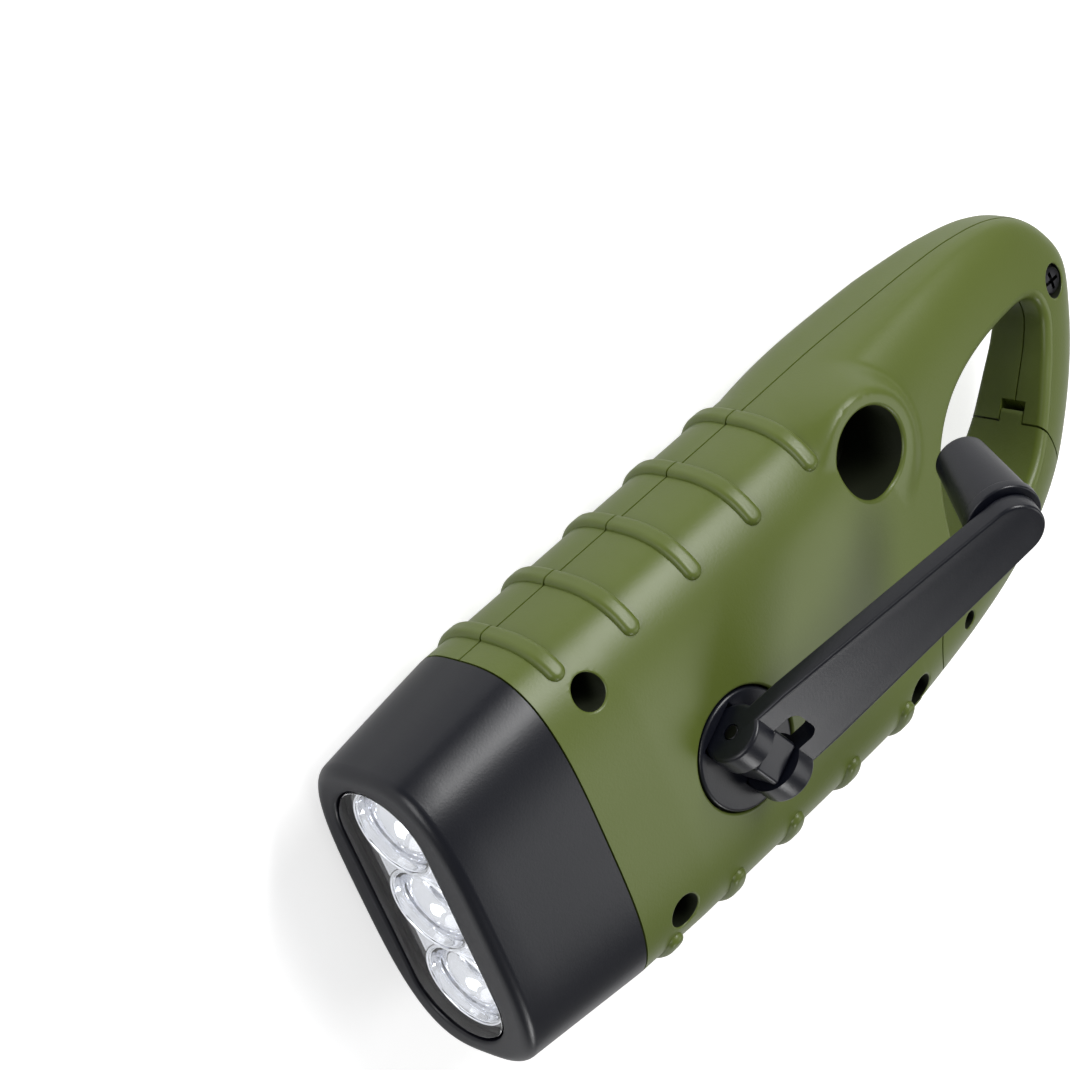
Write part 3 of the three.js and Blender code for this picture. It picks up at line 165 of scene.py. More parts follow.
# Closed profile turned about an axis, such as a sleeve
def sleeve(name, profile, centre, axis="z", steps=64):
    made = spun(name, list(profile) + [profile[0]], centre, axis, steps)
    caps = [face.index for face in made.data.polygons if len(face.vertices) == steps]
    work = bmesh.new()
    work.from_mesh(made.data)
    work.faces.ensure_lookup_table()
    bmesh.ops.delete(work, geom=[work.faces[index] for index in caps], context="FACES_ONLY")
    work.to_mesh(made.data)
    work.free()
    return welded(made)


# Upright prism over a closed outline
def prism(name, outline, low, high):
    outline = np.asarray(outline, float)
    rings = [np.column_stack([outline, np.full(len(outline), z)]) for z in (low, high)]
    return tube(name, rings)


# Plate over a convex outline, its edges rounded at the faces
def slab(name, outline, low, high, softLow, softHigh):
    outline = np.asarray(outline, float)
    normal = outward(outline)
    turns = np.linspace(0, math.pi / 2, roundSteps)
    rounds = [(1 - math.sin(turn), 1 - math.cos(turn)) for turn in turns]
    stations = [(softLow * first, low + softLow * second) for first, second in rounds]
    stations += [(softHigh * second, high - softHigh * first) for first, second in rounds]
    rings = [np.column_stack([outline - normal * inset, np.full(len(outline), z)]) for inset, z in stations]
    return tube(name, rings)


# Closed outline with rounded corners, each given as x, y and radius
def roundedPlan(corners, steps=8):
    points = []
    for index, (x, y, radius) in enumerate(corners):
        here = np.array([x, y], float)
        before = np.array(corners[index - 1][:2]) - here
        after = np.array(corners[(index + 1) % len(corners)][:2]) - here
        before, after = before / np.linalg.norm(before), after / np.linalg.norm(after)
        half = math.acos(float(np.clip(before @ after, -1, 1))) / 2
        middle = (before + after) / np.linalg.norm(before + after)
        centre = here + middle * radius / math.sin(half)
        first = here + before * radius / math.tan(half) - centre
        last = here + after * radius / math.tan(half) - centre
        start = math.atan2(first[1], first[0])
        sweep = (math.atan2(last[1], last[0]) - start + math.pi) % (2 * math.pi) - math.pi
        points += [centre + radius * np.array([math.cos(angle), math.sin(angle)])
                   for angle in start + sweep * np.linspace(0, 1, steps)]
    return np.array(points)


# Rounded rectangle about the middle plane; the two low corners may have a radius of their own
def roundedBox(half, low, high, soft, softLow=None):
    foot = soft if softLow is None else softLow
    return roundedPlan([(-half, low, foot), (half, low, foot), (half, high, soft), (-half, high, soft)])


def block(name, low, high):
    (lowX, lowY, lowZ), (highX, highY, highZ) = low, high
    return prism(name, [(lowX, lowY), (highX, lowY), (highX, highY), (lowX, highY)], lowZ, highZ)


def evaluated(made):
    graph = bpy.context.evaluated_depsgraph_get()
    graph.update()
    mesh = bpy.data.meshes.new_from_object(made.evaluated_get(graph), depsgraph=graph)
    made.modifiers.clear()
    old = made.data
    made.data = mesh
    bpy.data.meshes.remove(old)
    return made


# Cuts, joins or keeps the common part of closed meshes, and removes the tools unless they are kept
def combine(made, tools, operation, keep=False):
    for tool in tools:
        step = made.modifiers.new("step", "BOOLEAN")
        step.operation = operation
        step.solver = "MANIFOLD"
        step.object = tool
    evaluated(made)
    if not keep:
        for tool in tools:
            bpy.data.objects.remove(tool)
    return made


def copyOf(made, name):
    twin = made.copy()
    twin.data = made.data.copy()
    twin.name = name
    bpy.context.scene.collection.objects.link(twin)
    return twin


def smoothed(made, angle):
    made.data.polygons.foreach_set("use_smooth", np.ones(len(made.data.polygons), bool))
    made.data.set_sharp_from_angle(angle=angle * degree)
    made.data.update()
    return made


def dressed(made, material, bodyName, nodes, angle=30):
    smoothed(made, angle)
    made.data.materials.clear()
    made.data.materials.append(material)
    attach(made, bodyName)
    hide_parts(*nodes)
    return made


# Curves and the body's section

def spacingRoot(first, second):
    return np.sqrt(np.linalg.norm(second - first, axis=1))[:, None]


# Smooth run through points: cubics whose end slopes follow the square roots of the spacings
def smoothRun(shares, closed, count):
    points = np.array(shares, float) * [body["halfWidth"], body["loopLength"]] + [0, body["loopStartY"]]
    if closed:
        padded = np.vstack([points[-1:], points, points[:2]])
    else:
        padded = np.vstack([2 * points[0] - points[1], points, 2 * points[-1] - points[-2]])
    before, start, end, after = padded[:-3], padded[1:-2], padded[2:-1], padded[3:]
    lead, span, trail = spacingRoot(before, start), spacingRoot(start, end), spacingRoot(end, after)
    slopeIn = span * ((start - before) / lead - (end - before) / (lead + span) + (end - start) / span)
    slopeOut = span * ((end - start) / span - (after - start) / (span + trail) + (after - end) / trail)
    share = np.linspace(0, 1, 40, endpoint=False)[None, :, None]
    start, end, slopeIn, slopeOut = (value[:, None, :] for value in (start, end, slopeIn, slopeOut))
    square = -3 * start + 3 * end - 2 * slopeIn - slopeOut
    cube = 2 * start - 2 * end + slopeIn + slopeOut
    dense = (start + slopeIn * share + square * share**2 + cube * share**3).reshape(-1, 2)
    dense = np.vstack([dense, dense[:1] if closed else points[-1:]])
    length = runLength(dense)
    wanted = np.linspace(0, length[-1], count, endpoint=not closed)
    return np.column_stack([np.interp(wanted, length, dense[:, axis]) for axis in (0, 1)])


outerRun = smoothRun(body["outline"], False, 400)
openingRun = smoothRun(body["opening"], True, 200)


# Normals of a closed run, pointing away from what it encloses
def outward(run):
    along = np.roll(run, -1, 0) - np.roll(run, 1, 0)
    normal = np.column_stack([along[:, 1], -along[:, 0]]) / np.linalg.norm(along, axis=1)[:, None]
    area = np.sum(run[:, 0] * np.roll(run[:, 1], -1) - np.roll(run[:, 0], -1) * run[:, 1])
    return normal if area > 0 else -normal


# Half width at a place along the body, on the right (1) or the left (-1)
def sideX(y, side):
    y = np.asarray(y, float)
    share = np.clip((y - body["seamY"]) / (body["loopStartY"] - body["seamY"]), 0, 1)
    straight = side * (body["seamHalfWidth"] + (body["halfWidth"] - body["seamHalfWidth"]) * share)
    top = int(np.argmax(outerRun[:, 1]))
    run = outerRun[: top + 1] if side > 0 else outerRun[top:][::-1]
    return np.where(y <= body["loopStartY"], straight, np.interp(y, run[:, 1], run[:, 0]))


def pastBend(y, bendY):
    past = np.asarray(y, float) - bendY
    return (np.hypot(past, body["bendRound"]) + past) / 2


def solarHeight(y):
    bent = pastBend(y, body["solarBendY"]) - pastBend(body["seamY"], body["solarBendY"])
    return body["baseZ"] + body["solarSlope"] * bent


def crankHeight(y):
    rise = np.clip((np.asarray(y, float) - body["seamY"]) / body["risePitch"], 0, 1)
    flat = body["seamCrankZ"] + (body["crankZ"] - body["seamCrankZ"]) * rise
    bent = pastBend(y, body["crankBendY"]) - pastBend(body["seamY"], body["crankBendY"])
    return flat - body["crankSlope"] * bent


# Angles of a section, even along its length: a superellipse is the cosine and sine to two over the power
def evenAngles(steps, power, halfWidth, halfHeight):
    fine = np.linspace(0, math.pi / 2, fineSteps)
    across, up = np.cos(fine) ** (2 / power), np.sin(fine) ** (2 / power)
    run = np.column_stack([halfWidth * across, halfHeight * up])
    length = runLength(run)
    return np.interp(np.linspace(0, length[-1], steps // 4 + 1), length, fine)[:-1]


def sectionAngles():
    upper = evenAngles(body["around"], body["crankPower"], body["evenHalfWidth"], body["evenUpper"])
    lower = evenAngles(body["around"], body["evenLowerPower"], body["evenHalfWidth"], body["evenLower"])
    right = np.concatenate([[0], upper[1:], [math.pi / 2]])
    left = math.pi - right[::-1][1:]
    under = np.concatenate([[0], lower[1:], [math.pi / 2]])
    leftUnder = math.pi + under[1:]
    rightUnder = 2 * math.pi - under[::-1][1:-1]
    return np.concatenate([right, left, leftUnder, rightUnder])


ringAngles = sectionAngles()


# Shares across and up of a section at given angles; the powers differ above and below the belt
def sectionShares(angles, crankPower, solarPower):
    upper = np.sin(angles) >= 0
    power = 2 / np.where(upper, crankPower, solarPower)
    across = np.abs(np.cos(angles)) ** power * np.sign(np.cos(angles))
    up = np.abs(np.sin(angles)) ** power
    return across, up, upper


# Power of the solar side: it runs evenly from the handle's to the loop's
def solarPowerAt(y):
    share = np.clip((y - body["loopStartY"]) / (body["fanY"] - body["loopStartY"]), 0, 1)
    return body["solarPower"] + (body["loopPower"] - body["solarPower"]) * share


# Points of the body at given angles and places, drawn in by an inset (both arrays of one shape)
def bodyPoints(angles, y, inset=0.0):
    across, up, upper = sectionShares(angles, body["crankPower"], solarPowerAt(y))
    right, left = sideX(y, 1) - inset, sideX(y, -1) + inset
    x = (right + left) / 2 + across * (right - left) / 2
    return np.stack([x, y, sectionHeight(up, upper, y, inset)], -1)


def sectionHeight(up, upper, y, inset):
    low, high = solarHeight(y), crankHeight(y)
    belt = low + (high - low) * body["belt"]
    return belt + up * np.where(upper, high - inset - belt, low + inset - belt)


crank = {"x": 4.3, "y": 48.2, "heading": 27.0, "lift": 32.0, "pivotZ": 35.6, "reach": 45.8}
knobCup = {
    "radius": 6.6, "wall": 1.5, "floor": 1.4, "rimZ": 30.4, "depth": 11.8, "lip": 0.6,
    "rimRadius": 8.2, "footRadius": 12.2, "fullZ": 25.0,
}
knobPlace = (
    crank["x"] - crank["reach"] * math.sin(crank["heading"] * degree),
    crank["y"] + crank["reach"] * math.cos(crank["heading"] * degree),
)


# Blank of the body: rings to the loop's shoulder, then half rings that fan round the tail's outline
def bodyBlank(name, frontY, inset):
    front = np.linspace(frontY, body["denseY"], body["denseRings"])[:-1]
    rear = np.linspace(body["denseY"], body["fanY"], body["along"] - body["denseRings"])
    places = np.concatenate([front, rear])
    grid = bodyPoints(*np.broadcast_arrays(ringAngles[None, :], places[:, None]), inset)
    columns = len(ringAngles)
    quarter = int(np.argmin(np.abs(ringAngles - math.pi / 2)))
    lower = int(np.argmin(np.abs(ringAngles - 3 * math.pi / 2)))
    halfAngles = np.concatenate([ringAngles[lower:] - 2 * math.pi, ringAngles[: quarter + 1]])
    across, up, upper = sectionShares(halfAngles, body["crankPower"], body["loopPower"])
    tail = outerRun[outerRun[:, 1] > body["fanY"] + body["fanSkip"]]
    right, left = sideX(body["fanY"], 1), sideX(body["fanY"], -1)
    outline = np.vstack([[right, body["fanY"]], tail, [left, body["fanY"]]])
    middle = np.array([(right + left) / 2, body["fanY"]])
    reach = outline - middle
    shrink = (1 - inset / np.linalg.norm(reach, axis=1))[:, None, None]
    plan = middle + shrink * across[None, :, None] * reach[:, None, :]
    height = sectionHeight(up[None, :], upper[None, :], plan[..., 1], inset)
    fan = np.concatenate([plan, height[..., None]], -1)
    points = np.vstack([grid.reshape(-1, 3), fan.reshape(-1, 3)])
    offset = grid.shape[0] * columns
    faces = gridFaces(grid.shape[0], columns, True).tolist()
    faces += (gridFaces(fan.shape[0], fan.shape[1], False) + offset).tolist()
    faces.append(list(range(columns)))
    return welded(newObject(name, points, faces))


# Merges matching points and turns every face outwards
def welded(made, distance=2e-6):
    work = bmesh.new()
    work.from_mesh(made.data)
    bmesh.ops.remove_doubles(work, verts=work.verts, dist=distance)
    bmesh.ops.dissolve_degenerate(work, edges=work.edges, dist=1e-7)
    bmesh.ops.recalc_face_normals(work, faces=work.faces)
    work.to_mesh(made.data)
    work.free()
    return faceOutwards(made)


# Raises the shoulder to the rim of the knob's cup: fully inside the rim, by a smooth share out to the foot
def raiseCup(made):
    place = readPlaces(made.data.vertices, "co")
    far = np.hypot(place[:, 0] - knobPlace[0], place[:, 1] - knobPlace[1])
    share = np.clip((knobCup["footRadius"] - far) / (knobCup["footRadius"] - knobCup["rimRadius"]), 0, 1)
    above = np.clip((place[:, 2] - body["partingZ"]) / (knobCup["fullZ"] - body["partingZ"]), 0, 1)
    rise = np.maximum(knobCup["rimZ"] - place[:, 2], 0)
    place[:, 2] += rise * share**2 * (3 - 2 * share) * above**2 * (3 - 2 * above)
    return writePlaces(made, place)


# Grip ribs: a rounded pad whose height falls to nothing within its edge, laid on the body's section
rib = {
    "count": 5, "firstY": 26.5, "pitch": 12.74, "width": 3.0, "height": 0.85, "lowZ": 5.4, "innerX": 20.5,
    "edge": 0.9, "firstShort": 1.7, "sunk": 0.2, "root": 0.9, "endTurn": 0.12, "endSteps": 9, "along": 46,
    "across": 17,
}


def ribPad(side, index):
    middleY = rib["firstY"] + index * rib["pitch"] + rib["width"] / 2
    fine = np.linspace(-math.pi / 2, math.pi / 2, fineSteps)
    curve = bodyPoints(fine, np.full_like(fine, middleY))
    innerX = rib["innerX"] + (0 if index else rib["firstShort"])
    keep = (curve[:, 2] > rib["lowZ"]) & ((curve[:, 0] > innerX) | (curve[:, 2] < body["partingZ"]))
    curve = curve[keep]
    length = runLength(curve)
    half = rib["width"] / 2
    ends = half * (1 - np.cos(np.linspace(rib["endTurn"], math.pi / 2, rib["endSteps"])))
    straight = np.linspace(half, length[-1] - half, rib["along"])[1:-1]
    places = np.concatenate([ends, straight, length[-1] - ends[::-1]])
    spot = np.column_stack([np.interp(places, length, curve[:, axis]) for axis in (0, 2)])
    slope = np.gradient(spot, places, axis=0)
    normal = np.column_stack([slope[:, 1], -slope[:, 0]]) / np.linalg.norm(slope, axis=1)[:, None]
    past = np.maximum.reduce([half - places, places - (length[-1] - half), 0 * places])
    breadth = np.sqrt(np.maximum(half**2 - past**2, 1e-4))
    turn = np.sin(np.linspace(-math.pi / 2, math.pi / 2, rib["across"]))
    across = breadth[:, None] * turn[None, :]
    inside = np.clip(half - np.hypot(past[:, None], across), 0, rib["edge"])
    dome = np.sqrt(np.maximum(1 - (1 - inside / rib["edge"]) ** 2, 0))
    rise = (rib["height"] + rib["sunk"]) * dome - rib["sunk"]
    level = np.concatenate([rise, np.full_like(rise, -rib["root"])], 1)
    run = np.concatenate([across, across[:, ::-1]], 1)
    x = side * (spot[:, :1] + normal[:, :1] * level)
    z = spot[:, 1:] + normal[:, 1:] * level
    return tube("ribPad", np.stack([x, middleY + run, z], -1))


# Plan outlines

def arc(centre, radius, start, end, steps):
    angles = np.linspace(start, end, steps + 1) * degree
    return np.column_stack([centre[0] + radius * np.cos(angles), centre[1] + radius * np.sin(angles)])


gate = {
    "x": 19.5, "y": 97.3, "rootRadius": 8.0, "heel": -54.0, "tipRadius": 32.0, "tipStart": 88.0,
    "tipEnd": 122.0, "reach": 26.0, "swing": 30.0, "notch": 1.5, "notchStart": 166.0, "notchEnd": 188.0,
    "tongue": 1.9, "slotRoom": 1.3, "slotLow": 109.5, "tongueLow": 110.5, "tongueHigh": 115.4,
    "tongueZ": 14.6, "tongueHeight": 4.2, "pinRadius": 1.3, "pinSink": 0.1, "pinDeep": 4.2, "pinLip": 0.3,
    "pinSoft": 0.35,
    "tabZ": 10.6, "tabHeight": 4.6, "tabRadius": 4.6, "neckAngle": -117.0, "neckWidth": 5.6,
    "neckReach": 2.6, "neckSteps": 6, "springRoom": 2.5,
}
gateCentre = (gate["x"], gate["y"])


def gatePlan(rootGap, tipGap):
    root = arc(gateCentre, gate["rootRadius"] + rootGap, -180, gate["heel"], 48)
    outwardAngle = (gate["heel"] + 90) * degree
    corner = root[-1] + gate["reach"] * np.array([math.cos(outwardAngle), math.sin(outwardAngle)])
    tip = arc(gateCentre, gate["tipRadius"] + tipGap, gate["tipStart"], gate["tipEnd"], 40)
    return np.vstack([root, corner, tip])


def sectorPlan(inner, outer, low, high):
    return np.vstack([arc(gateCentre, outer, low, high, 16), arc(gateCentre, inner, high, low, 16)])


def neckPlan(width, turn):
    angle = (gate["neckAngle"] + turn) * degree
    along = np.array([math.cos(angle), math.sin(angle)])
    across = np.array([-math.sin(angle), math.cos(angle)])
    reach = gate["rootRadius"] + gate["neckReach"]
    corners = [(0, -0.5), (1, -0.5), (1, 0.5), (0, 0.5)]
    return np.array([gateCentre + far * reach * along + wide * width * across for far, wide in corners])


mouthCut = {"firstTurn": 8, "steps": 9, "past": 4}


# Rings of a cutter's mouth: a quarter round from the wall out to the face, following the face's height
def mouthRings(run, face, sign, radius):
    normal = outward(run)
    turns = np.linspace(mouthCut["firstTurn"], 90, mouthCut["steps"]) * degree
    rings = []
    for turn in turns:
        plan = run + normal * (radius * (1 - math.sin(turn)))
        rings.append(np.column_stack([plan, face(plan) - sign * radius * (1 - math.cos(turn))]))
    top = rings[0].copy()
    top[:, 2] += sign * mouthCut["past"]
    return [top, *rings]


# Cutter that goes right through the loop, rounded at both faces
def throughCutter(name, run, radius):
    upper = mouthRings(run, crankFace, 1, radius)
    lower = mouthRings(run, solarFace, -1, radius)
    return tube(name, lower + upper[::-1])


# Cutter of a hole sunk from the crank side down to a floor
def sunkCutter(name, run, floorZ, radius, face=None):
    upper = mouthRings(run, face or crankFace, 1, radius)
    floor = np.column_stack([run, np.full(len(run), floorZ)])
    return tube(name, [floor] + upper[::-1])


def circle(x, y, radius, steps=64):
    return arc((x, y), radius, 0, 360, steps)[:-1]


# Height of the loop's face over a place in plan: the section's share at that distance from the middle
def loopFace(plan, upper):
    x, y = plan[..., 0], plan[..., 1]
    right, left = sideX(np.minimum(y, body["fanY"]), 1), sideX(np.minimum(y, body["fanY"]), -1)
    middle, half = (right + left) / 2, (right - left) / 2
    across = np.abs(x - middle) / half
    tail = outerRun[outerRun[:, 1] >= body["fanY"]]
    centre = np.array([(sideX(body["fanY"], 1) + sideX(body["fanY"], -1)) / 2, body["fanY"]])
    tailAngle = np.arctan2(tail[:, 1] - centre[1], tail[:, 0] - centre[0])
    tailReach = np.linalg.norm(tail - centre, axis=1)
    order = np.argsort(tailAngle)
    angle = np.arctan2(y - centre[1], x - centre[0])
    reach = np.interp(angle, tailAngle[order], tailReach[order])
    share = np.where(y > body["fanY"], np.hypot(x - centre[0], y - centre[1]) / reach, across)
    power = body["crankPower"] if upper else solarPowerAt(y)
    up = np.maximum(1 - np.clip(share, 0, 1) ** power, 0) ** (1 / power)
    low, high = solarHeight(y), crankHeight(y)
    belt = low + (high - low) * body["belt"]
    return belt + up * ((high if upper else low) - belt)


def crankFace(plan):
    return loopFace(plan, True)


def solarFace(plan):
    return loopFace(plan, False)


def cupFace(plan):
    return np.maximum(knobCup["rimZ"], crankFace(plan))


# Sizes of the shells, the button and the solar panel, and the heights that follow from them

shell = {
    "loopRound": 1.7, "screwRadius": 2.55, "seatZ": 20.2, "tailSeatZ": 17.8, "bossWall": 1.4,
    "postRadius": 3.3, "shankRadius": 1.35, "hubRadius": 9.0, "hubWall": 1.7, "hubLip": 0.45,
    "screwLip": 0.35, "disc": 3.3,
    "recess": 1.5, "gear": 2.5, "plate": 1.2, "shaftHole": 3.3, "axleHole": 1.1, "idler": (-10.3358, 56.65),
    "socket": 2.4, "platePosts": [(18, 38.2), (-20, 37.2), (8.5, 67)], "platePost": 2.2, "pilot": 1.1,
    "pilotDeep": 4.9, "trayWall": 1.6, "trayCorner": 2.5, "smooth": 26, "shadeRoom": 0.02,
    "screws": [(18.9, 30, 8.2), (-18.9, 30, 8.2), (21.3, 82.9, 8.2), (-9.6, 141.3, 4.6)],
}
board = {"thick": 1.6, "plunger": 1.2, "switch": 3.6, "clamp": 3, "rearClampY": 60, "slotDeep": 3.5}
button = {
    "y": 37.3, "z": 9.8, "radius": 2.8, "top": 27.7, "crown": 0.8, "flangeX": 17.68, "flangeRadius": 3.3,
    "flange": 1, "cutTo": 32,
}
solarFrame = {
    "frontY": 28.5, "halfWidth": 16.7, "cornerY": 77.5, "arcRise": 4.2, "height": 4.4, "rim": 3.0,
    "step": 1.1, "corner": 1.2, "leadRadius": 1.2, "footSoft": 0.7, "topSoft": 0.1, "rimCorner": 0.8,
    "bevel": 0.5,
}
cell = {
    "halfWidth": 11.0, "frontY": 34.4, "rearY": 73.2, "depth": 1.9, "thickness": 1.2, "corner": 1.4,
    "frontSoft": 0.12, "backSoft": 0.05,
}
screwPlaces = [place[:2] for place in shell["screws"]]
screwSeats = [shell["seatZ"]] * 3 + [shell["tailSeatZ"]]
farZ = 40.0

levels = {"discLow": body["crankZ"] - shell["disc"]}
levels["recessFloor"] = levels["discLow"] - gap
levels["recessUnder"] = levels["recessFloor"] - shell["recess"]
levels["crankGearLow"] = levels["recessUnder"] - gap - shell["gear"]
levels["plateHigh"] = levels["crankGearLow"] - gap - shell["gear"] - gap
levels["plateLow"] = levels["plateHigh"] - shell["plate"]
levels["trayLow"] = solarFrame["height"] + gap
levels["trayTop"] = levels["trayLow"] + shell["trayWall"]
levels["seamLow"], levels["seamHigh"] = body["partingZ"] - gap / 2, body["partingZ"] + gap / 2
levels["cupLow"] = knobCup["rimZ"] - knobCup["depth"]
levels["tabTop"] = gate["tabZ"] + gate["tabHeight"]
levels["neckHigh"] = levels["tabTop"] + gap


# Outline of the solar frame: straight front and sides and an arched rear, moved outwards by a distance
def framePlan(distance, corner):
    half, rise = solarFrame["halfWidth"], solarFrame["arcRise"]
    radius = (half**2 + rise**2) / (2 * rise)
    centreY = solarFrame["cornerY"] + rise - radius
    side, inner = half + distance - corner, radius + distance - corner
    start = math.acos(side / inner) / degree
    front, rear = solarFrame["frontY"] - distance + corner, centreY + inner * math.sin(start * degree)
    return np.vstack([
        arc((-side, front), corner, 180, 270, 8), arc((side, front), corner, 270, 360, 8),
        arc((side, rear), corner, 0, start, 6)[:-1],
        arc((0, centreY), radius + distance, start, 180 - start, 40),
        arc((-side, rear), corner, 180 - start, 180, 6)[1:],
    ])


head = {
    "rimHalfWidth": 24.7, "rimBaseZ": 3.5, "rimCrankZ": 30.9, "rimPower": 3.2, "rimBelt": 0.5,
    "frontRound": 1.7, "frontWall": 2.0, "openHalfWidth": 21.5, "openHalfHeight": 8.75, "openZ": 16.7,
    "openRound": 0.5,
    "grooveDepth": 0.6, "grooveWidth": 1.2, "neckLength": 5.5, "neckWall": 1.6, "bead": 0.5,
    "stations": (1, 0.75, 0.5, 0.25), "faceShares": (0.34, 0.67, 1.0),
}
head["neckY"] = body["seamY"] - head["neckLength"]
head["beadY"] = head["neckY"] + head["neckLength"] / 3


# Section of the head: its sizes and powers run evenly from the rim to the seam
def headPoints(angles, y, inset=0.0):
    share = y / body["seamY"]

    def mix(first, last):
        return first + (last - first) * share

    low, high = mix(head["rimBaseZ"], body["baseZ"]), mix(head["rimCrankZ"], body["seamCrankZ"])
    belt = low + (high - low) * mix(head["rimBelt"], body["belt"])
    half = mix(head["rimHalfWidth"], body["seamHalfWidth"]) - inset
    across, up, upper = sectionShares(
        angles, mix(head["rimPower"], body["crankPower"]), mix(head["rimPower"], body["solarPower"])
    )
    height = belt + up * np.where(upper, high - inset - belt, low + inset - belt)
    return np.stack([across * half, y, height], -1)


def headRing(y, inset):
    return headPoints(ringAngles, np.full_like(ringAngles, y), inset)


def cylinder(name, x, y, radius, low, high, steps=48):
    return prism(name, circle(x, y, radius, steps), low, high)


def barX(name, radius, lowX, highX, y, z, steps=48):
    return spun(name, [(radius, lowX), (radius, highX)], (0, y, z), "x", steps)


# Holes for the solar cell's leads, from the outside up to a height
def leadHoles(high):
    middleY, radius = (cell["frontY"] + cell["rearY"]) / 2, solarFrame["leadRadius"]
    return [cylinder("lead", side * cell["halfWidth"] / 2, middleY, radius, 0, high, 24) for side in (1, -1)]


# Paints shade on the walls inside the sunk holes: they take a much darker copy of the green as painted shade
def paintShadeInHoles(made, paintedShade, holes):
    centre = readPlaces(made.data.polygons, "center")
    inside = np.zeros(len(centre), bool)
    for x, y, radius, low in holes:
        far = np.hypot(centre[:, 0] - x, centre[:, 1] - y)
        inside |= (far < radius + shell["shadeRoom"]) & (centre[:, 2] > low)
    paintFaces(made, paintedShade, inside)


# Body with ribs and neck, hollowed; a solid copy for the gate; and the blank that trims the supports
def shellBlanks():
    outside = bodyBlank("outside", body["seamY"] + gap, 0.0)
    ribs = [ribPad(side, index) for side in (1, -1) for index in range(rib["count"])]
    combine(raiseCup(outside), ribs, "UNION")
    limb = copyOf(outside, "limb")
    bounded = bodyBlank("bounded", body["seamY"] + gap, wall / 4)
    sunk, bead, beadY = wall + gap, head["bead"], head["beadY"]
    neckRun = [(head["neckY"], 0), (beadY, 0), (beadY + bead, bead), (beadY + 2 * bead, bead)]
    neckRun.append((beadY + 3 * bead, 0))
    neckRings = [headRing(y, sunk - lift) for y, lift in neckRun]
    neckRings.append(bodyPoints(ringAngles, np.full_like(ringAngles, body["seamY"] + wall), sunk))
    combine(outside, [tube("neck", neckRings)], "UNION")
    inside = bodyBlank("inside", body["seamY"] + gap + wall, wall)
    loopWall = prism("loopWall", openingRun + outward(openingRun) * wall, -1, farZ)
    gateWall = prism("gateWall", gatePlan(gap + wall, gate["tongue"] + gate["slotRoom"] + wall), -1, farZ)
    combine(inside, [loopWall, gateWall], "DIFFERENCE")
    neckInset = sunk + head["neckWall"]
    innerRings = [headRing(y, neckInset) for y in (head["neckY"] - 1, body["seamY"])]
    innerRings.append(bodyPoints(ringAngles, np.full_like(ringAngles, body["seamY"] + 2 * wall), neckInset))
    combine(outside, [inside, tube("innerNeck", innerRings)], "DIFFERENCE")
    print("shell blank:", len(outside.data.polygons), "faces")
    return outside, limb, bounded


# What both shells leave free: the loop's opening, the gate, its heel and its tongue
def clearances():
    rootRadius, slotEnd = gate["rootRadius"], gate["tipRadius"] + gate["tongue"] + gate["slotRoom"]
    notch = sectorPlan(rootRadius - wall, rootRadius + gate["notch"], gate["notchStart"], gate["notchEnd"])
    slot = sectorPlan(gate["tipRadius"], slotEnd, gate["slotLow"], gate["tipEnd"])
    return [
        throughCutter("loopMouth", openingRun, shell["loopRound"]),
        prism("gateClearance", gatePlan(gap, gap), -1, farZ),
        prism("notch", notch, -1, farZ),
        prism("tongueSlot", slot, gate["tongueZ"] - gap, gate["tongueZ"] + gate["tongueHeight"] + gap),
    ]


# One half of the hollow body with supports that are joined, trimmed to the body's inside and added to it
def halfShell(name, outside, bounded, half, supports):
    made = copyOf(outside, name)
    combine(made, [half], "INTERSECT", keep=True)
    inner = supports()
    combine(inner[0], inner[1:], "UNION")
    combine(inner[0], [bounded, half], "INTERSECT", keep=True)
    return combine(made, [inner[0]], "UNION")


def crankSupports():
    bossRadius = shell["screwRadius"] + shell["bossWall"]
    discRadius, cupRadius = shell["hubRadius"] + shell["hubWall"], knobCup["radius"] + knobCup["wall"]
    inner = [cylinder("boss", x, y, bossRadius, levels["seamHigh"], farZ) for x, y in screwPlaces]
    inner += [
        cylinder("discWall", crank["x"], crank["y"], discRadius, levels["recessUnder"], farZ),
        cylinder("cup", *knobPlace, cupRadius, levels["cupLow"] - knobCup["floor"], farZ),
        cylinder("socket", *shell["idler"], shell["socket"], levels["recessUnder"], farZ, 24),
    ]
    low = levels["plateHigh"] + gap
    inner += [cylinder("post", x, y, shell["platePost"], low, farZ, 24) for x, y in shell["platePosts"]]
    return inner


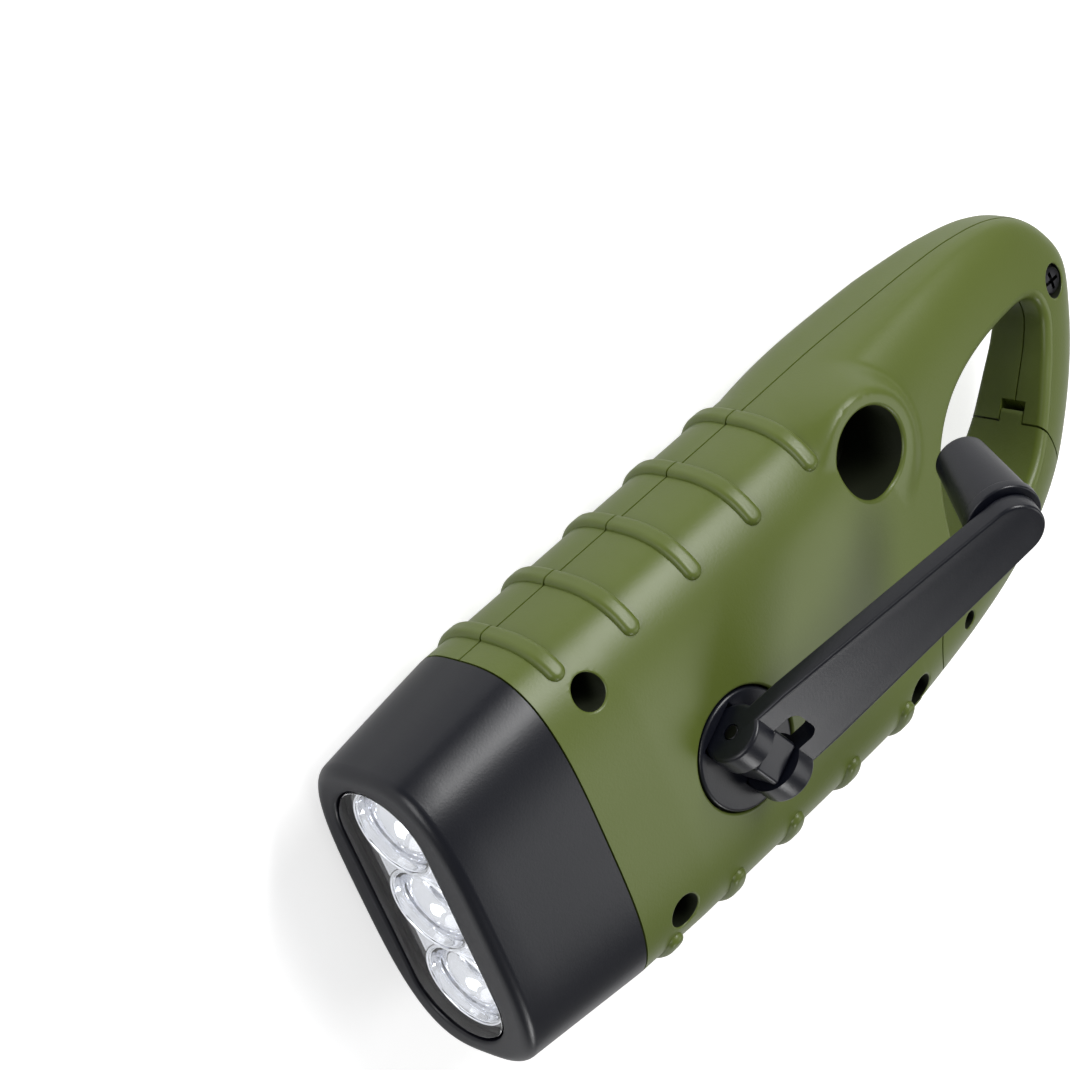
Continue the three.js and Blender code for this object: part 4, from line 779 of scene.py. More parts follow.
def makeCrankShell(outside, bounded, half):
    made = halfShell("crank_side_shell_fine", outside, bounded, half, crankSupports)
    holes = []
    for (x, y), seat in zip(screwPlaces, screwSeats):
        holes.append(sunkCutter("screwHole", circle(x, y, shell["screwRadius"]), seat, shell["screwLip"]))
        holes.append(cylinder("shankHole", x, y, shell["shankRadius"], levels["seamHigh"] - 1, farZ, 24))
    low, hubPlace, cupLow = levels["plateLow"], (crank["x"], crank["y"]), levels["cupLow"]
    hubRing, cupRing = circle(*hubPlace, shell["hubRadius"], 96), circle(*knobPlace, knobCup["radius"], 96)
    for x, y in shell["platePosts"]:
        holes.append(cylinder("pilot", x, y, shell["pilot"], low, low + shell["pilotDeep"], 24))
    holes += [
        sunkCutter("hubHole", hubRing, levels["recessFloor"], shell["hubLip"]),
        cylinder("shaftHole", *hubPlace, shell["shaftHole"], levels["recessUnder"] - 1, farZ),
        sunkCutter("knobHole", cupRing, cupLow, knobCup["lip"], cupFace),
        cylinder("axleHole", *shell["idler"], shell["axleHole"], low, levels["discLow"], 24),
    ]
    combine(made, clearances() + holes, "DIFFERENCE")
    print("crank side shell:", len(made.data.polygons), "faces")
    return made


def solarSupports():
    inner = [cylinder("post", x, y, shell["postRadius"], 0, levels["seamLow"]) for x, y in screwPlaces]
    tray = framePlan(gap + shell["trayWall"], shell["trayCorner"])
    inner.append(prism("tray", tray, 0, levels["trayTop"]))
    return inner


# Two slotted blocks on the tray that hold the upright circuit board
def boardClamps():
    x = button["flangeX"] - gap - board["plunger"] - board["switch"] - gap - board["thick"]
    trayLow, trayTop, wide = levels["trayLow"], levels["trayTop"], board["clamp"]
    clamps = []
    for y in (button["y"] + wide + gap, board["rearClampY"]):
        low = (x - gap - board["thick"], y, trayLow + gap)
        clamp = block("clamp", low, (x + 2 * board["thick"] + gap, y + wide, trayTop + wide))
        slotHigh = (x + board["thick"] + gap, y + wide + gap, trayTop + board["slotDeep"])
        clamps.append(combine(clamp, [block("slot", (x - gap, y - gap, trayTop), slotHigh)], "DIFFERENCE"))
    return clamps


def makeSolarShell(outside, bounded, half):
    made = halfShell("solar_side_shell_fine", outside, bounded, half, solarSupports)
    combine(made, clearances(), "DIFFERENCE")
    combine(made, boardClamps(), "UNION")
    holes, holesHigh = [], levels["seamLow"] + gap
    for (x, y, length), seat in zip(shell["screws"], screwSeats):
        holes.append(cylinder("pilot", x, y, shell["shankRadius"], seat - length - gap, holesHigh, 24))
    holes += leadHoles(levels["trayTop"] + gap)
    holes.append(prism("tray", framePlan(gap, solarFrame["corner"] + gap), -2, levels["trayLow"]))
    radius, low, high = button["radius"] + gap, button["flangeX"], button["cutTo"]
    holes.append(barX("buttonHole", radius, low, high, button["y"], button["z"]))
    combine(made, holes, "DIFFERENCE")
    tab = [
        cylinder("tab", *gateCentre, gate["tabRadius"], gate["tabZ"], levels["tabTop"]),
        prism("tabNeck", neckPlan(gate["neckWidth"], 0), gate["tabZ"], levels["tabTop"]),
    ]
    combine(made, tab, "UNION")
    pinRadius = gate["pinRadius"] + runningGap
    combine(made, [cylinder("pinHole", *gateCentre, pinRadius, 0, levels["seamLow"])], "DIFFERENCE")
    print("solar side shell:", len(made.data.polygons), "faces")
    return made


def makeGate(limb):
    limb.name = "gate_fine"
    combine(limb, [prism("gateZone", gatePlan(0, 0), -1, farZ)], "INTERSECT")
    tip, low = gate["tipRadius"], gate["tongueZ"]
    tongue = sectorPlan(tip - 1, tip + gate["tongue"], gate["tongueLow"], gate["tongueHigh"])
    combine(limb, [prism("tongue", tongue, low, low + gate["tongueHeight"])], "UNION")
    slotLow, slotHigh = gate["tabZ"] - gap, levels["neckHigh"] + gate["springRoom"]
    cutters = [throughCutter("loopMouth", openingRun, shell["loopRound"])]
    cutters.append(cylinder("tabRoom", *gateCentre, gate["tabRadius"] + gap, slotLow, slotHigh))
    for step in range(gate["neckSteps"] + 1):
        plan = neckPlan(gate["neckWidth"] + 2 * gap, -gate["swing"] * step / gate["neckSteps"])
        cutters.append(prism("neckRoom", plan, slotLow, levels["neckHigh"]))
    pinBore = circle(*gateCentre, gate["pinRadius"] + runningGap)
    cutters.append(prism("pinHole", pinBore, -2, levels["neckHigh"]))
    cutters.append(sunkCutter("pinMouth", pinBore, levels["tabTop"], gate["pinLip"]))
    combine(limb, cutters, "DIFFERENCE")
    print("gate:", len(limb.data.polygons), "faces")


def makeShells(green, paintedShade):
    outside, limb, bounded = shellBlanks()
    upperHalf = block("upperHalf", (-50, 0, levels["seamHigh"]), (50, 160, farZ))
    lowerHalf = block("lowerHalf", (-50, 0, -5), (50, 160, levels["seamLow"]))
    crankShell = makeCrankShell(outside, bounded, upperHalf)
    solarShell = makeSolarShell(outside, bounded, lowerHalf)
    makeGate(limb)
    for spare in (outside, bounded, upperHalf, lowerHalf):
        bpy.data.objects.remove(spare)
    for made, bodyName, node in (
        (crankShell, "body", "crank_side_shell"), (solarShell, "body", "solar_side_shell"),
        (limb, "gate", "gate"),
    ):
        dressed(made, green, bodyName, [node], shell["smooth"])
    # Painted shade inside the screw holes, the knob's cup and the gate's pin hole
    holes = [(x, y, shell["screwRadius"], seat - 1) for (x, y), seat in zip(screwPlaces, screwSeats)]
    holes.append((*knobPlace, knobCup["radius"], levels["cupLow"] - 1))
    paintShadeInHoles(crankShell, paintedShade, holes)
    paintShadeInHoles(limb, paintedShade, [(*gateCentre, gate["pinRadius"] + runningGap, levels["tabTop"])])


# Head, lens, reflector and lamps

# Rounded slot of the head's opening at given directions from its centre
def slotPoints(directions, distance):
    radius = head["openHalfHeight"] + distance
    straight = head["openHalfWidth"] - head["openHalfHeight"]
    side = np.linspace(straight, -straight, 80)
    run = np.vstack([
        arc((straight, 0), radius, -90, 90, 60), np.column_stack([side, np.full_like(side, radius)]),
        arc((-straight, 0), radius, 90, 270, 60), np.column_stack([-side, np.full_like(side, -radius)]),
    ])
    angle = np.arctan2(run[:, 1], run[:, 0])
    order = np.argsort(angle)
    reach = np.interp(directions, angle[order], np.hypot(*run.T)[order], period=2 * math.pi)
    return reach * np.cos(directions), head["openZ"] + reach * np.sin(directions)


def slotRing(y, distance, directions):
    x, z = slotPoints(directions, distance)
    return np.column_stack([x, np.full_like(x, y), z])


def makeHead(black, slotPaintedShade):
    soft, mouth = head["frontRound"], head["openRound"]
    turns = np.linspace(0, math.pi / 2, 9)
    stations = [(body["seamY"] * share, 0.0) for share in head["stations"]]
    stations += [(soft * (1 - math.sin(turn)), soft * (1 - math.cos(turn))) for turn in turns]
    outer = [headRing(y, inset) for y, inset in stations]
    last = outer[-1]
    directions = np.arctan2(last[:, 2] - head["openZ"], last[:, 0])
    rim = slotRing(0, mouth, directions)
    face = [last + (rim - last) * share for share in head["faceShares"]]
    lipRun = [(mouth * (1 - math.cos(turn)), mouth * (1 - math.sin(turn))) for turn in turns[2::2]]
    lip = [slotRing(y, distance, directions) for y, distance in [*lipRun, (head["frontWall"], 0.0)]]
    low, high, deep = head["beadY"], head["beadY"] + head["grooveWidth"], wall - head["grooveDepth"]
    innerRun = [
        (head["frontWall"], wall), (low - gap, wall), (low + gap / 2, deep), (high, deep),
        (high + 2 * gap, wall), (body["seamY"], wall),
    ]
    inner = [headRing(y, inset) for y, inset in innerRun]
    rings = np.array(outer + face + lip + inner + [outer[0]])
    rows, columns = rings.shape[:2]
    made = welded(newObject("head_bezel_fine", rings.reshape(-1, 3), gridFaces(rows, columns, True)))
    dressed(made, black, "body", ["head_bezel"], 28)
    # Painted shade: the wall of the head's slot takes a darker, less glossy black
    x, y, z = readPlaces(made.data.polygons, "center").T
    straight = head["openHalfWidth"] - head["openHalfHeight"]
    reach = np.hypot(np.maximum(np.abs(x) - straight, 0), z - head["openZ"])
    onWall = np.abs(reach - head["openHalfHeight"]) < mouth
    shadedSlotWall = onWall & (y > mouth / 2) & (y < head["frontWall"] + mouth)
    paintFaces(made, slotPaintedShade, shadedSlotWall)


reflector = {
    "cupRadius": 6.3, "cupDepth": 7.4, "holeRadius": 3.0, "plate": 1.2, "wall": 0.6, "pitch": 13.2,
    "front": 4.0, "back": 12.6, "ripple": 0.2, "ripples": 3.0, "mouthRoom": 0.12, "bowlSink": 0.08,
    "rimWide": 0.34, "rimHigh": 0.3, "rimLap": 0.05, "rimFoot": 0.5,
}
lamp = {"radius": 2.5, "height": 6.4, "footRadius": 2.9, "foot": 1.0, "footFront": 12.9, "footEdge": 0.1}
lens = {"front": 0.35, "edge": 0.25, "thickness": 1.4, "flange": 0.9, "sideShare": 0.3}
lampPlaces = [((index - 1) * reflector["pitch"], 0, head["openZ"]) for index in range(3)]
slotDirections = np.linspace(0, 2 * math.pi, 160, endpoint=False)


# Half width of a cup over its depth: a parabola from the lamp's hole out to the mouth
def cupRadiusAt(share):
    low, high = reflector["holeRadius"], reflector["cupRadius"]
    wave = np.sin(2 * math.pi * reflector["ripples"] * share) * np.sin(math.pi * share)
    ripple = reflector["ripple"] * wave
    return np.sqrt(low**2 + (high**2 - low**2) * (1 - share)) - ripple


def makeReflector(plated):
    front, skin = reflector["front"], reflector["wall"]
    share = np.linspace(0, 1, 48)
    depth = front + share * reflector["cupDepth"]
    plateRings = [slotRing(y, 0.0, slotDirections) for y in (front, front + reflector["plate"])]
    plate = tube("reflector_fine", plateRings)
    wide, high, lap = reflector["rimWide"], reflector["rimHigh"], reflector["rimLap"]
    turns = np.linspace(0, math.pi, 9)
    rimShape = [(wide * (1 - math.cos(turn)) - lap, -high * math.sin(turn)) for turn in turns]
    rimShape += [(2 * wide - lap, reflector["rimFoot"]), (-lap, reflector["rimFoot"])]
    mouth = reflector["cupRadius"] + reflector["mouthRoom"]
    rimRun = [(mouth + around, front + rise) for around, rise in rimShape]
    cupRun = [(cupRadiusAt(value) + skin, y) for value, y in zip(share, depth)]
    cupRun.append((reflector["holeRadius"] + skin, reflector["back"]))
    bowlRun = [(mouth, front - 0.5), (mouth, front)]
    bowlRun += [(cupRadiusAt(value), y) for value, y in zip(share, depth + reflector["bowlSink"])]
    bowlRun.append((reflector["holeRadius"], reflector["back"] + 1))
    cups, bowls = [], []
    for place in lampPlaces:
        cups.append(spun("cup", cupRun, place, "y", 72))
        bowls.append(spun("bowl", bowlRun, place, "y", 72))
        cups.append(sleeve("cupRim", rimRun, place, "y", 72))
    combine(plate, cups, "UNION")
    combine(plate, bowls, "DIFFERENCE")
    dressed(plate, plated, "body", ["reflector"], 26)


def makeLamps(resin):
    tip, foot, edge = lamp["footFront"] - lamp["height"], lamp["footFront"], lamp["footEdge"]
    turns = np.linspace(0, math.pi / 2, 14)
    run = [(lamp["radius"] * math.sin(turn), tip + lamp["radius"] * (1 - math.cos(turn))) for turn in turns]
    run += [(lamp["radius"], foot), (lamp["footRadius"] - edge, foot)]
    run += [(lamp["footRadius"], foot + edge), (lamp["footRadius"], foot + lamp["foot"])]
    for index, place in enumerate(lampPlaces):
        made = spun(f"led_{index + 1}_fine", run, place, "y", 48)
        dressed(made, resin, "body", [f"led_{index + 1}"])


# Lens: a plug in the head's slot with a flange behind it; its side wall is painted dark, as painted shade
# that hides the light it would catch
def makeLens(clear, dark):
    front, edge, flangeY = lens["front"], lens["edge"], head["frontWall"] + gap
    turns = np.linspace(math.pi / 2, 0, roundSteps)
    run = [(front + edge * (1 - math.sin(turn)), -gap - edge * (1 - math.cos(turn))) for turn in turns]
    run += [(flangeY, -gap), (flangeY, lens["flange"]), (flangeY + lens["thickness"], lens["flange"])]
    made = tube("lens_fine", [slotRing(y, distance, slotDirections) for y, distance in run])
    dressed(made, clear, "body", ["lens"])
    # Painted shade on the lens's side wall, in place of the light the clear glass would catch there
    facing = np.zeros(len(made.data.polygons) * 3)
    made.data.polygons.foreach_get("normal", facing)
    paintFaces(made, dark, np.abs(facing[1::3]) < lens["sideShare"])


# Crank, built about its own axes and then turned into place

hub = {
    "discRadius": 8.7, "low": 29.7, "high": 33.0, "soft": 0.45, "knuckle": 3.2, "halfKnuckle": 2.65,
    "knuckleCorner": 0.7, "knuckleSoft": 0.6, "knuckleFoot": 0.1, "pocket": 4.7, "shaft": 3.0,
    "halfFlats": 2.3, "shaftLow": 25.1, "flatTurn": 123.0, "pinHole": 1.2, "bore": 1.4, "boreHigh": 30.1,
}
arm = {
    "root": 6.75, "tip": 4.6, "half": 1.5, "shoulder": 9.0, "window": 8.0, "lug": 4.4, "soft": 0.45,
    "lugSoft": 0.6, "stub": 2.0, "stubLow": -12.9, "bore": 1.1, "boreHigh": -7.9, "pocketSoft": 1.7,
    "pocketFoot": 0.1,
}
knob = {
    "low": -16.3, "high": -1.8, "end": 3.8, "radius": 5.2, "collar": 5.5, "collarLow": -3.4, "soft": 0.7,
    "edge": 0.3, "bore": 2.1, "sunkBore": 2.9, "sunkHigh": -12.9, "footLong": 3,
}


# Turns a piece that was built about the crank's axis by the lift and the heading, and moves it there
def turnedIntoPlace(made, lift, height):
    local = readPlaces(made.data.vertices, "co")
    tilt, swing = lift * degree, crank["heading"] * degree
    lifted = [[1, 0, 0], [0, math.cos(tilt), -math.sin(tilt)], [0, math.sin(tilt), math.cos(tilt)]]
    swung = [[math.cos(swing), -math.sin(swing), 0], [math.sin(swing), math.cos(swing), 0], [0, 0, 1]]
    moved = local @ (np.array(swung) @ np.array(lifted)).T + [crank["x"], crank["y"], height]
    return writePlaces(made, moved)


def makeHub(black):
    half, reach, pivotZ = hub["halfKnuckle"], arm["root"] + gap, crank["pivotZ"]
    discRun = turnedRun(hub["discRadius"], hub["low"], hub["high"], hub["soft"])
    disc = spun("crank_hub_fine", discRun, (0, 0, 0), "z", 128)
    sides = ((half, reach), (-reach, -half))
    pockets = [barX("pocket", hub["pocket"], low, high, 0, pivotZ, 96) for low, high in sides]
    combine(disc, pockets, "DIFFERENCE")
    turn = hub["flatTurn"] * degree
    corners = np.array([(-1, -1.5), (1, -1.5), (1, 1.5), (-1, 1.5)]) * hub["halfFlats"]
    turned = corners @ np.array([[math.cos(turn), math.sin(turn)], [-math.sin(turn), math.cos(turn)]])
    shaft = cylinder("shaft", 0, 0, hub["shaft"], hub["shaftLow"], levels["recessUnder"])
    combine(shaft, [prism("flats", turned, hub["shaftLow"] - 1, levels["recessUnder"] + 1)], "INTERSECT")
    knuckle = roundedBox(half, -hub["knuckle"], hub["knuckle"], hub["knuckleCorner"])
    knuckleHigh = pivotZ + hub["knuckle"]
    joined = [
        slab("knuckle", knuckle, hub["high"] - 1, knuckleHigh, hub["knuckleFoot"], hub["knuckleSoft"]),
        shaft, cylinder("shaftTop", 0, 0, hub["shaft"], levels["recessUnder"] - gap, hub["low"] + gap),
    ]
    combine(disc, joined, "UNION")
    holes = [barX("pinHole", hub["pinHole"], -reach, reach, 0, pivotZ)]
    holes.append(cylinder("screwHole", 0, 0, hub["bore"], hub["shaftLow"] - gap, hub["boreHigh"]))
    combine(disc, holes, "DIFFERENCE")
    dressed(turnedIntoPlace(disc, 0, 0), black, "crank", ["crank_hub"])


def makeArm(black):
    root, half, end, shoulder = arm["root"], arm["half"], crank["reach"], arm["shoulder"]
    tip = arc((0, end), arm["tip"], 0, 180, 48)
    outline = np.vstack([[(root, 0), (root, shoulder)], tip, [(-root, shoulder), (-root, 0)]])
    plate = slab("crank_arm_fine", outline, -half, half, arm["soft"], arm["soft"])
    joined = [spun("lugs", turnedRun(arm["lug"], -root, root, arm["lugSoft"]), (0, 0, 0), "x", 96)]
    joined.append(cylinder("stub", 0, end, arm["stub"], arm["stubLow"], 0))
    combine(plate, joined, "UNION")
    wide, low = hub["halfKnuckle"] + gap, -arm["lug"] - 1
    window = roundedBox(wide, low, arm["window"], arm["pocketSoft"], arm["pocketFoot"])
    holes = [
        prism("window", window, -8, 8), barX("pinHole", hub["pinHole"], -20, 20, 0, 0),
        cylinder("screwHole", 0, end, arm["bore"], arm["stubLow"] - gap, arm["boreHigh"], 24),
    ]
    combine(plate, holes, "DIFFERENCE")
    turnedIntoPlace(plate, crank["lift"], crank["pivotZ"])
    dressed(plate, black, "arm", ["crank_arm"])


def makeKnob(black):
    low, high, edge, collarLow = knob["low"], knob["high"], knob["edge"], knob["collarLow"]
    radius, sunkBore, sunkHigh = knob["radius"], knob["sunkBore"], knob["sunkHigh"]
    foot = turnedRun(knob["end"], low, low + knob["footLong"], knob["soft"])[:roundSteps]
    collar = turnedRun(knob["collar"], collarLow, high, edge)
    profile = [(sunkBore, low)] + foot + [(radius, collarLow - edge), (radius, collarLow)]
    profile += collar + [(knob["bore"], high), (knob["bore"], sunkHigh), (sunkBore, sunkHigh)]
    made = sleeve("crank_knob_fine", profile, (0, crank["reach"], 0), "z", 96)
    turnedIntoPlace(made, crank["lift"], crank["pivotZ"])
    dressed(made, black, "knob", ["crank_knob"])


# Screws, pins, button and solar panel

# Sizes are head radius, head height, shank radius and length; the dome is a share of the radius and a fall
screw = {
    "caseSize": (2.2, 1.2, 1.05), "knobSize": (2.6, 1.3, 0.8, 5.0),
    "dome": [(0, 0), (0.6, 0.06), (0.88, 0.22), (1, 0.5)],
    "point": 0.4, "pointRadius": 0.3, "crossLong": 0.62, "crossWide": 0.13, "crossDeep": 0.7,
}
foldPin = {"play": 0.1, "soft": 0.2}


# Screw with a domed head and a cross in it; direction is 1 for a head that faces up
def screwShape(name, x, y, seat, direction, size):
    head, tall, shank, length = size
    run = [(head * share, tall - fall) for share, fall in screw["dome"]] + [(head, 0), (shank, 0)]
    run += [(shank, -length + screw["point"]), (screw["pointRadius"], -length)]
    made = spun(name, [(around, seat + direction * place) for around, place in run], (x, y, 0), "z", 40)
    low, high = sorted((seat + direction * (tall - screw["crossDeep"]), seat + direction * (tall + 1)))
    long, narrow = head * screw["crossLong"], head * screw["crossWide"]
    arms = [
        block("cross", (x - wide, y - deep, low), (x + wide, y + deep, high))
        for wide, deep in ((long, narrow), (narrow, long))
    ]
    return combine(made, arms, "DIFFERENCE")


def makeScrews(steel, dark):
    for index, (x, y, length) in enumerate(shell["screws"]):
        size = (*screw["caseSize"], length)
        made = screwShape(f"case_screw_{index + 1}_fine", x, y, screwSeats[index] + gap, 1, size)
        dressed(made, dark, "body", [f"case_screw_{index + 1}"])
    made = screwShape("knob_screw_fine", 0, crank["reach"], knob["sunkHigh"] - gap, -1, screw["knobSize"])
    turnedIntoPlace(made, crank["lift"], crank["pivotZ"])
    dressed(made, dark, "arm", ["knob_screw"])
    run = turnedRun(hub["pinHole"] - foldPin["play"], -arm["root"], arm["root"], foldPin["soft"])
    made = turnedIntoPlace(spun("fold_pin_fine", run, (0, 0, crank["pivotZ"]), "x", 40), 0, 0)
    dressed(made, dark, "crank", ["fold_pin"])
    low = float(solarFace(np.array(gateCentre))) + gate["pinSink"]
    high = float(crankHeight(gate["y"])) - gate["pinDeep"]
    run = turnedRun(gate["pinRadius"], low, high, gate["pinSoft"])
    made = spun("gate_pin_fine", run, (*gateCentre, 0), "z", 48)
    dressed(made, steel, "body", ["gate_pin"])


def makeButton(black):
    radius, flange, low = button["radius"], button["flangeRadius"], button["flangeX"]
    high = low + button["flange"]
    run = [(flange, low), (flange, high), (radius, high)]
    run += turnedRun(radius, high, button["top"], button["crown"])[roundSteps:]
    made = spun("button_cap_fine", run, (0, button["y"], button["z"]), "x", 56)
    dressed(made, black, "button", ["button_cap"])


# A closed run moved outwards by a distance, at a height
def raisedRing(run, grow, z):
    return np.column_stack([run + outward(run) * grow, np.full(len(run), z)])


def makePanel(black, cellSkin):
    tall, step, bevel = solarFrame["height"], solarFrame["step"], solarFrame["bevel"]
    outline = framePlan(0, solarFrame["corner"])
    surround = slab("solar_frame_fine", outline, 0, tall, solarFrame["footSoft"], solarFrame["topSoft"])
    rim = framePlan(-solarFrame["rim"], solarFrame["rimCorner"])
    turns = np.linspace(0, math.pi / 2, roundSteps)
    rings = [raisedRing(rim, bevel, -1.0)]
    rings += [raisedRing(rim, bevel * (1 - math.sin(turn)), bevel * (1 - math.cos(turn))) for turn in turns]
    rings.append(raisedRing(rim, 0.0, step))
    half, low, high = cell["halfWidth"], cell["frontY"], cell["rearY"]
    pocket = roundedBox(half + gap, low - gap, high + gap, cell["corner"] + gap)
    cellTop = cell["depth"] + cell["thickness"]
    pocketRun = [(bevel, -1), (bevel, step), (0.0, step + bevel), (0.0, cellTop + gap)]
    pocketRings = [raisedRing(pocket, grow, z) for grow, z in pocketRun]
    cutters = [tube("rimCut", rings), tube("pocket", pocketRings)]
    combine(surround, cutters + leadHoles(tall + gap), "DIFFERENCE")
    dressed(surround, black, "body", ["solar_frame"])
    plan = roundedBox(half, low, high, cell["corner"])
    made = slab("solar_cell_fine", plan, cell["depth"], cellTop, cell["frontSoft"], cell["backSoft"])
    dressed(made, cellSkin, "body", ["solar_cell"])


# Materials

def principled(material):
    return material.node_tree.nodes["Principled BSDF"]


def newMaterial(name, colour, roughness):
    material = bpy.data.materials.new(name)
    material.use_nodes = True
    principled(material).inputs["Base Color"].default_value = (*colour, 1)
    principled(material).inputs["Roughness"].default_value = roughness
    return material


# New shader node with values on its sockets, and settings of its own
def addNode(tree, kind, values=(), **settings):
    node = tree.nodes.new("ShaderNode" + kind)
    for setting, value in settings.items():
        setattr(node, setting, value)
    for socket, value in dict(values).items():
        node.inputs[socket].default_value = value
    return node


# Links given as a node, its output, the node that takes it and its input
def wire(tree, *links):
    for source, output, target, socket in links:
        tree.links.new(source.outputs[output], target.inputs[socket])


# Moulded plastic: slight clouding of colour and gloss, and a fine spark-eroded grain as bump
def moulded(name, colour, darker, roughness, grain, grainScale, clouds=40.0):
    material = newMaterial(name, colour, roughness)
    tree, shader = material.node_tree, principled(material)
    place = addNode(tree, "TexCoord")
    cloud = addNode(tree, "TexNoise", {"Scale": clouds, "Detail": 3.0})
    mix = addNode(tree, "Mix", {6: (*colour, 1), 7: (*darker, 1)}, data_type="RGBA")
    gloss = addNode(tree, "MapRange", {"To Min": roughness * 0.9, "To Max": roughness * 1.1})
    fine = addNode(tree, "TexNoise", {"Scale": grainScale, "Detail": 2.0})
    bump = addNode(tree, "Bump", {"Strength": grain, "Distance": 0.0001})
    wire(
        tree, (place, "Object", cloud, "Vector"), (place, "Object", fine, "Vector"),
        (cloud, "Fac", mix, "Factor"), (cloud, "Fac", gloss, "Value"), (mix, 2, shader, "Base Color"),
        (gloss, "Result", shader, "Roughness"), (fine, "Fac", bump, "Height"),
        (bump, "Normal", shader, "Normal"),
    )
    return material


# Metal with a slight cloud in its gloss and fine turned lines across it
def metal(name, colour, roughness, lines=900.0):
    material = moulded(name, colour, tuple(0.86 * value for value in colour), roughness, 0.06, lines, 120.0)
    principled(material).inputs["Metallic"].default_value = 1.0
    return material


def seeThrough(name, colour, roughness, bend, clear):
    material = moulded(name, colour, tuple(0.97 * value for value in colour), roughness, 0.02, 400.0)
    principled(material).inputs["Transmission Weight"].default_value = clear
    principled(material).inputs["IOR"].default_value = bend
    return material


# Solar cell: brown film with thin light lines across it every few millimetres
stripes = {
    "count": 8, "width": 0.035, "film": (0.3, 0.115, 0.045), "filmDark": (0.25, 0.09, 0.036),
    "line": (0.5, 0.3, 0.17),
}


def cellFilm():
    material = moulded("cellFilm", stripes["film"], stripes["filmDark"], 0.28, 0.03, 900.0, 90.0)
    tree, shader = material.node_tree, principled(material)
    film = shader.inputs["Base Color"].links[0].from_node
    low, high = ((cell[side] + toFrame[1]) / 1000 for side in ("frontY", "rearY"))
    place, split = addNode(tree, "TexCoord"), addNode(tree, "SeparateXYZ")
    span = addNode(tree, "MapRange", {"From Min": low, "From Max": high, "To Max": stripes["count"]})
    part = addNode(tree, "Math", operation="FRACT")
    near = addNode(tree, "Math", {1: stripes["width"]}, operation="LESS_THAN")
    mix = addNode(tree, "Mix", {7: (*stripes["line"], 1)}, data_type="RGBA")
    wire(
        tree, (place, "Object", split, "Vector"), (split, "Y", span, "Value"), (span, "Result", part, 0),
        (part, "Value", near, 0), (near, "Value", mix, "Factor"), (film, 2, mix, 6),
        (mix, 2, shader, "Base Color"),
    )
    return material


greenPlastic = moulded("greenPlastic", (0.106, 0.14, 0.024), (0.097, 0.128, 0.021), 0.38, 0.16, 2600.0)
# Painted shade for the sunk holes: the green made much darker and duller
greenPaintedShade = moulded("greenPaintedShade", (0.012, 0.016, 0.005), (0.009, 0.012, 0.004), 0.6, 0.14, 3000.0)
blackPlastic = moulded("blackPlastic", (0.0042, 0.005, 0.0098), (0.0034, 0.0042, 0.0084), 0.34, 0.1, 3000.0)
frameBlack = moulded("frameBlack", (0.006, 0.0066, 0.0078), (0.005, 0.0055, 0.0066), 0.36, 0.12, 2600.0)
# Painted shade for the head's slot wall and the lens's side wall: the black made darker and less glossy
slotPaintedShade = moulded("slotPaintedShade", (0.004, 0.0036, 0.009), (0.003, 0.0028, 0.007), 0.5, 0.1, 3000.0)
principled(slotPaintedShade).inputs["Specular IOR Level"].default_value = 0.16
steel = metal("steel", (0.6, 0.61, 0.62), 0.28)
blackSteel = metal("blackSteel", (0.035, 0.035, 0.038), 0.34)
platedSkin = metal("platedSkin", (0.87, 0.88, 0.92), 0.045, 300.0)
clearLens = seeThrough("clearLens", (0.97, 0.98, 0.99), 0.03, 1.34, 1.0)
principled(clearLens).inputs["Specular IOR Level"].default_value = 0.1
lampResin = seeThrough("lampResin", (0.95, 0.96, 0.97), 0.04, 1.4, 0.85)
innerLooks = {
    "black_plastic": blackPlastic, "steel": steel, "brass": metal("brass", (0.66, 0.48, 0.22), 0.3),
    "copper": metal("copper", (0.6, 0.27, 0.14), 0.38, 500.0),
    "battery_can": metal("batteryCan", (0.58, 0.58, 0.57), 0.24, 250.0),
    "circuit_board": moulded(
        "circuitBoard", (0.012, 0.09, 0.04), (0.01, 0.07, 0.032), 0.42, 0.1, 1200.0, 300.0
    ),
    "gear_plastic": moulded("gearPlastic", (0.72, 0.71, 0.66), (0.64, 0.63, 0.58), 0.4, 0.1, 2000.0),
    "switch_plastic": moulded(
        "switchPlastic", (0.022, 0.022, 0.024), (0.016, 0.016, 0.018), 0.4, 0.1, 2200.0
    ),
    "magnet": moulded("magnet", (0.02, 0.02, 0.023), (0.015, 0.015, 0.017), 0.5, 0.2, 1500.0),
}


# Inner pieces keep their CAD shape and take the material of their slot in the record
def dressInner():
    for entry in frame["record"]["subparts"]:
        look = innerLooks.get(entry["material_slot"])
        if look:
            mesh = frame["nodes"][entry["node"]].data
            mesh.materials.clear()
            mesh.materials.append(look)


makeShells(greenPlastic, greenPaintedShade)
makeHead(blackPlastic, slotPaintedShade)
makeReflector(platedSkin)
makeLamps(lampResin)
makeLens(clearLens, slotPaintedShade)
print("head, reflector, lamps and lens done")
makeHub(blackPlastic)
makeArm(blackPlastic)
makeKnob(blackPlastic)
makeButton(blackPlastic)
makeScrews(steel, blackSteel)
makePanel(frameBlack, cellFilm())
dressInner()
print("crank, screws, button and panel done")


# Camera and studio

view = {
    "place": (-289.79, -214.88, 410.39), "right": (0.35263, 0.66175, 0.66162),
    "down": (0.80398, -0.57604, 0.14765), "ahead": (0.47882, 0.47986, -0.73516),
    "focalPixels": 4002.0, "frameWidth": 1080.0, "sensor": 36.0,
}


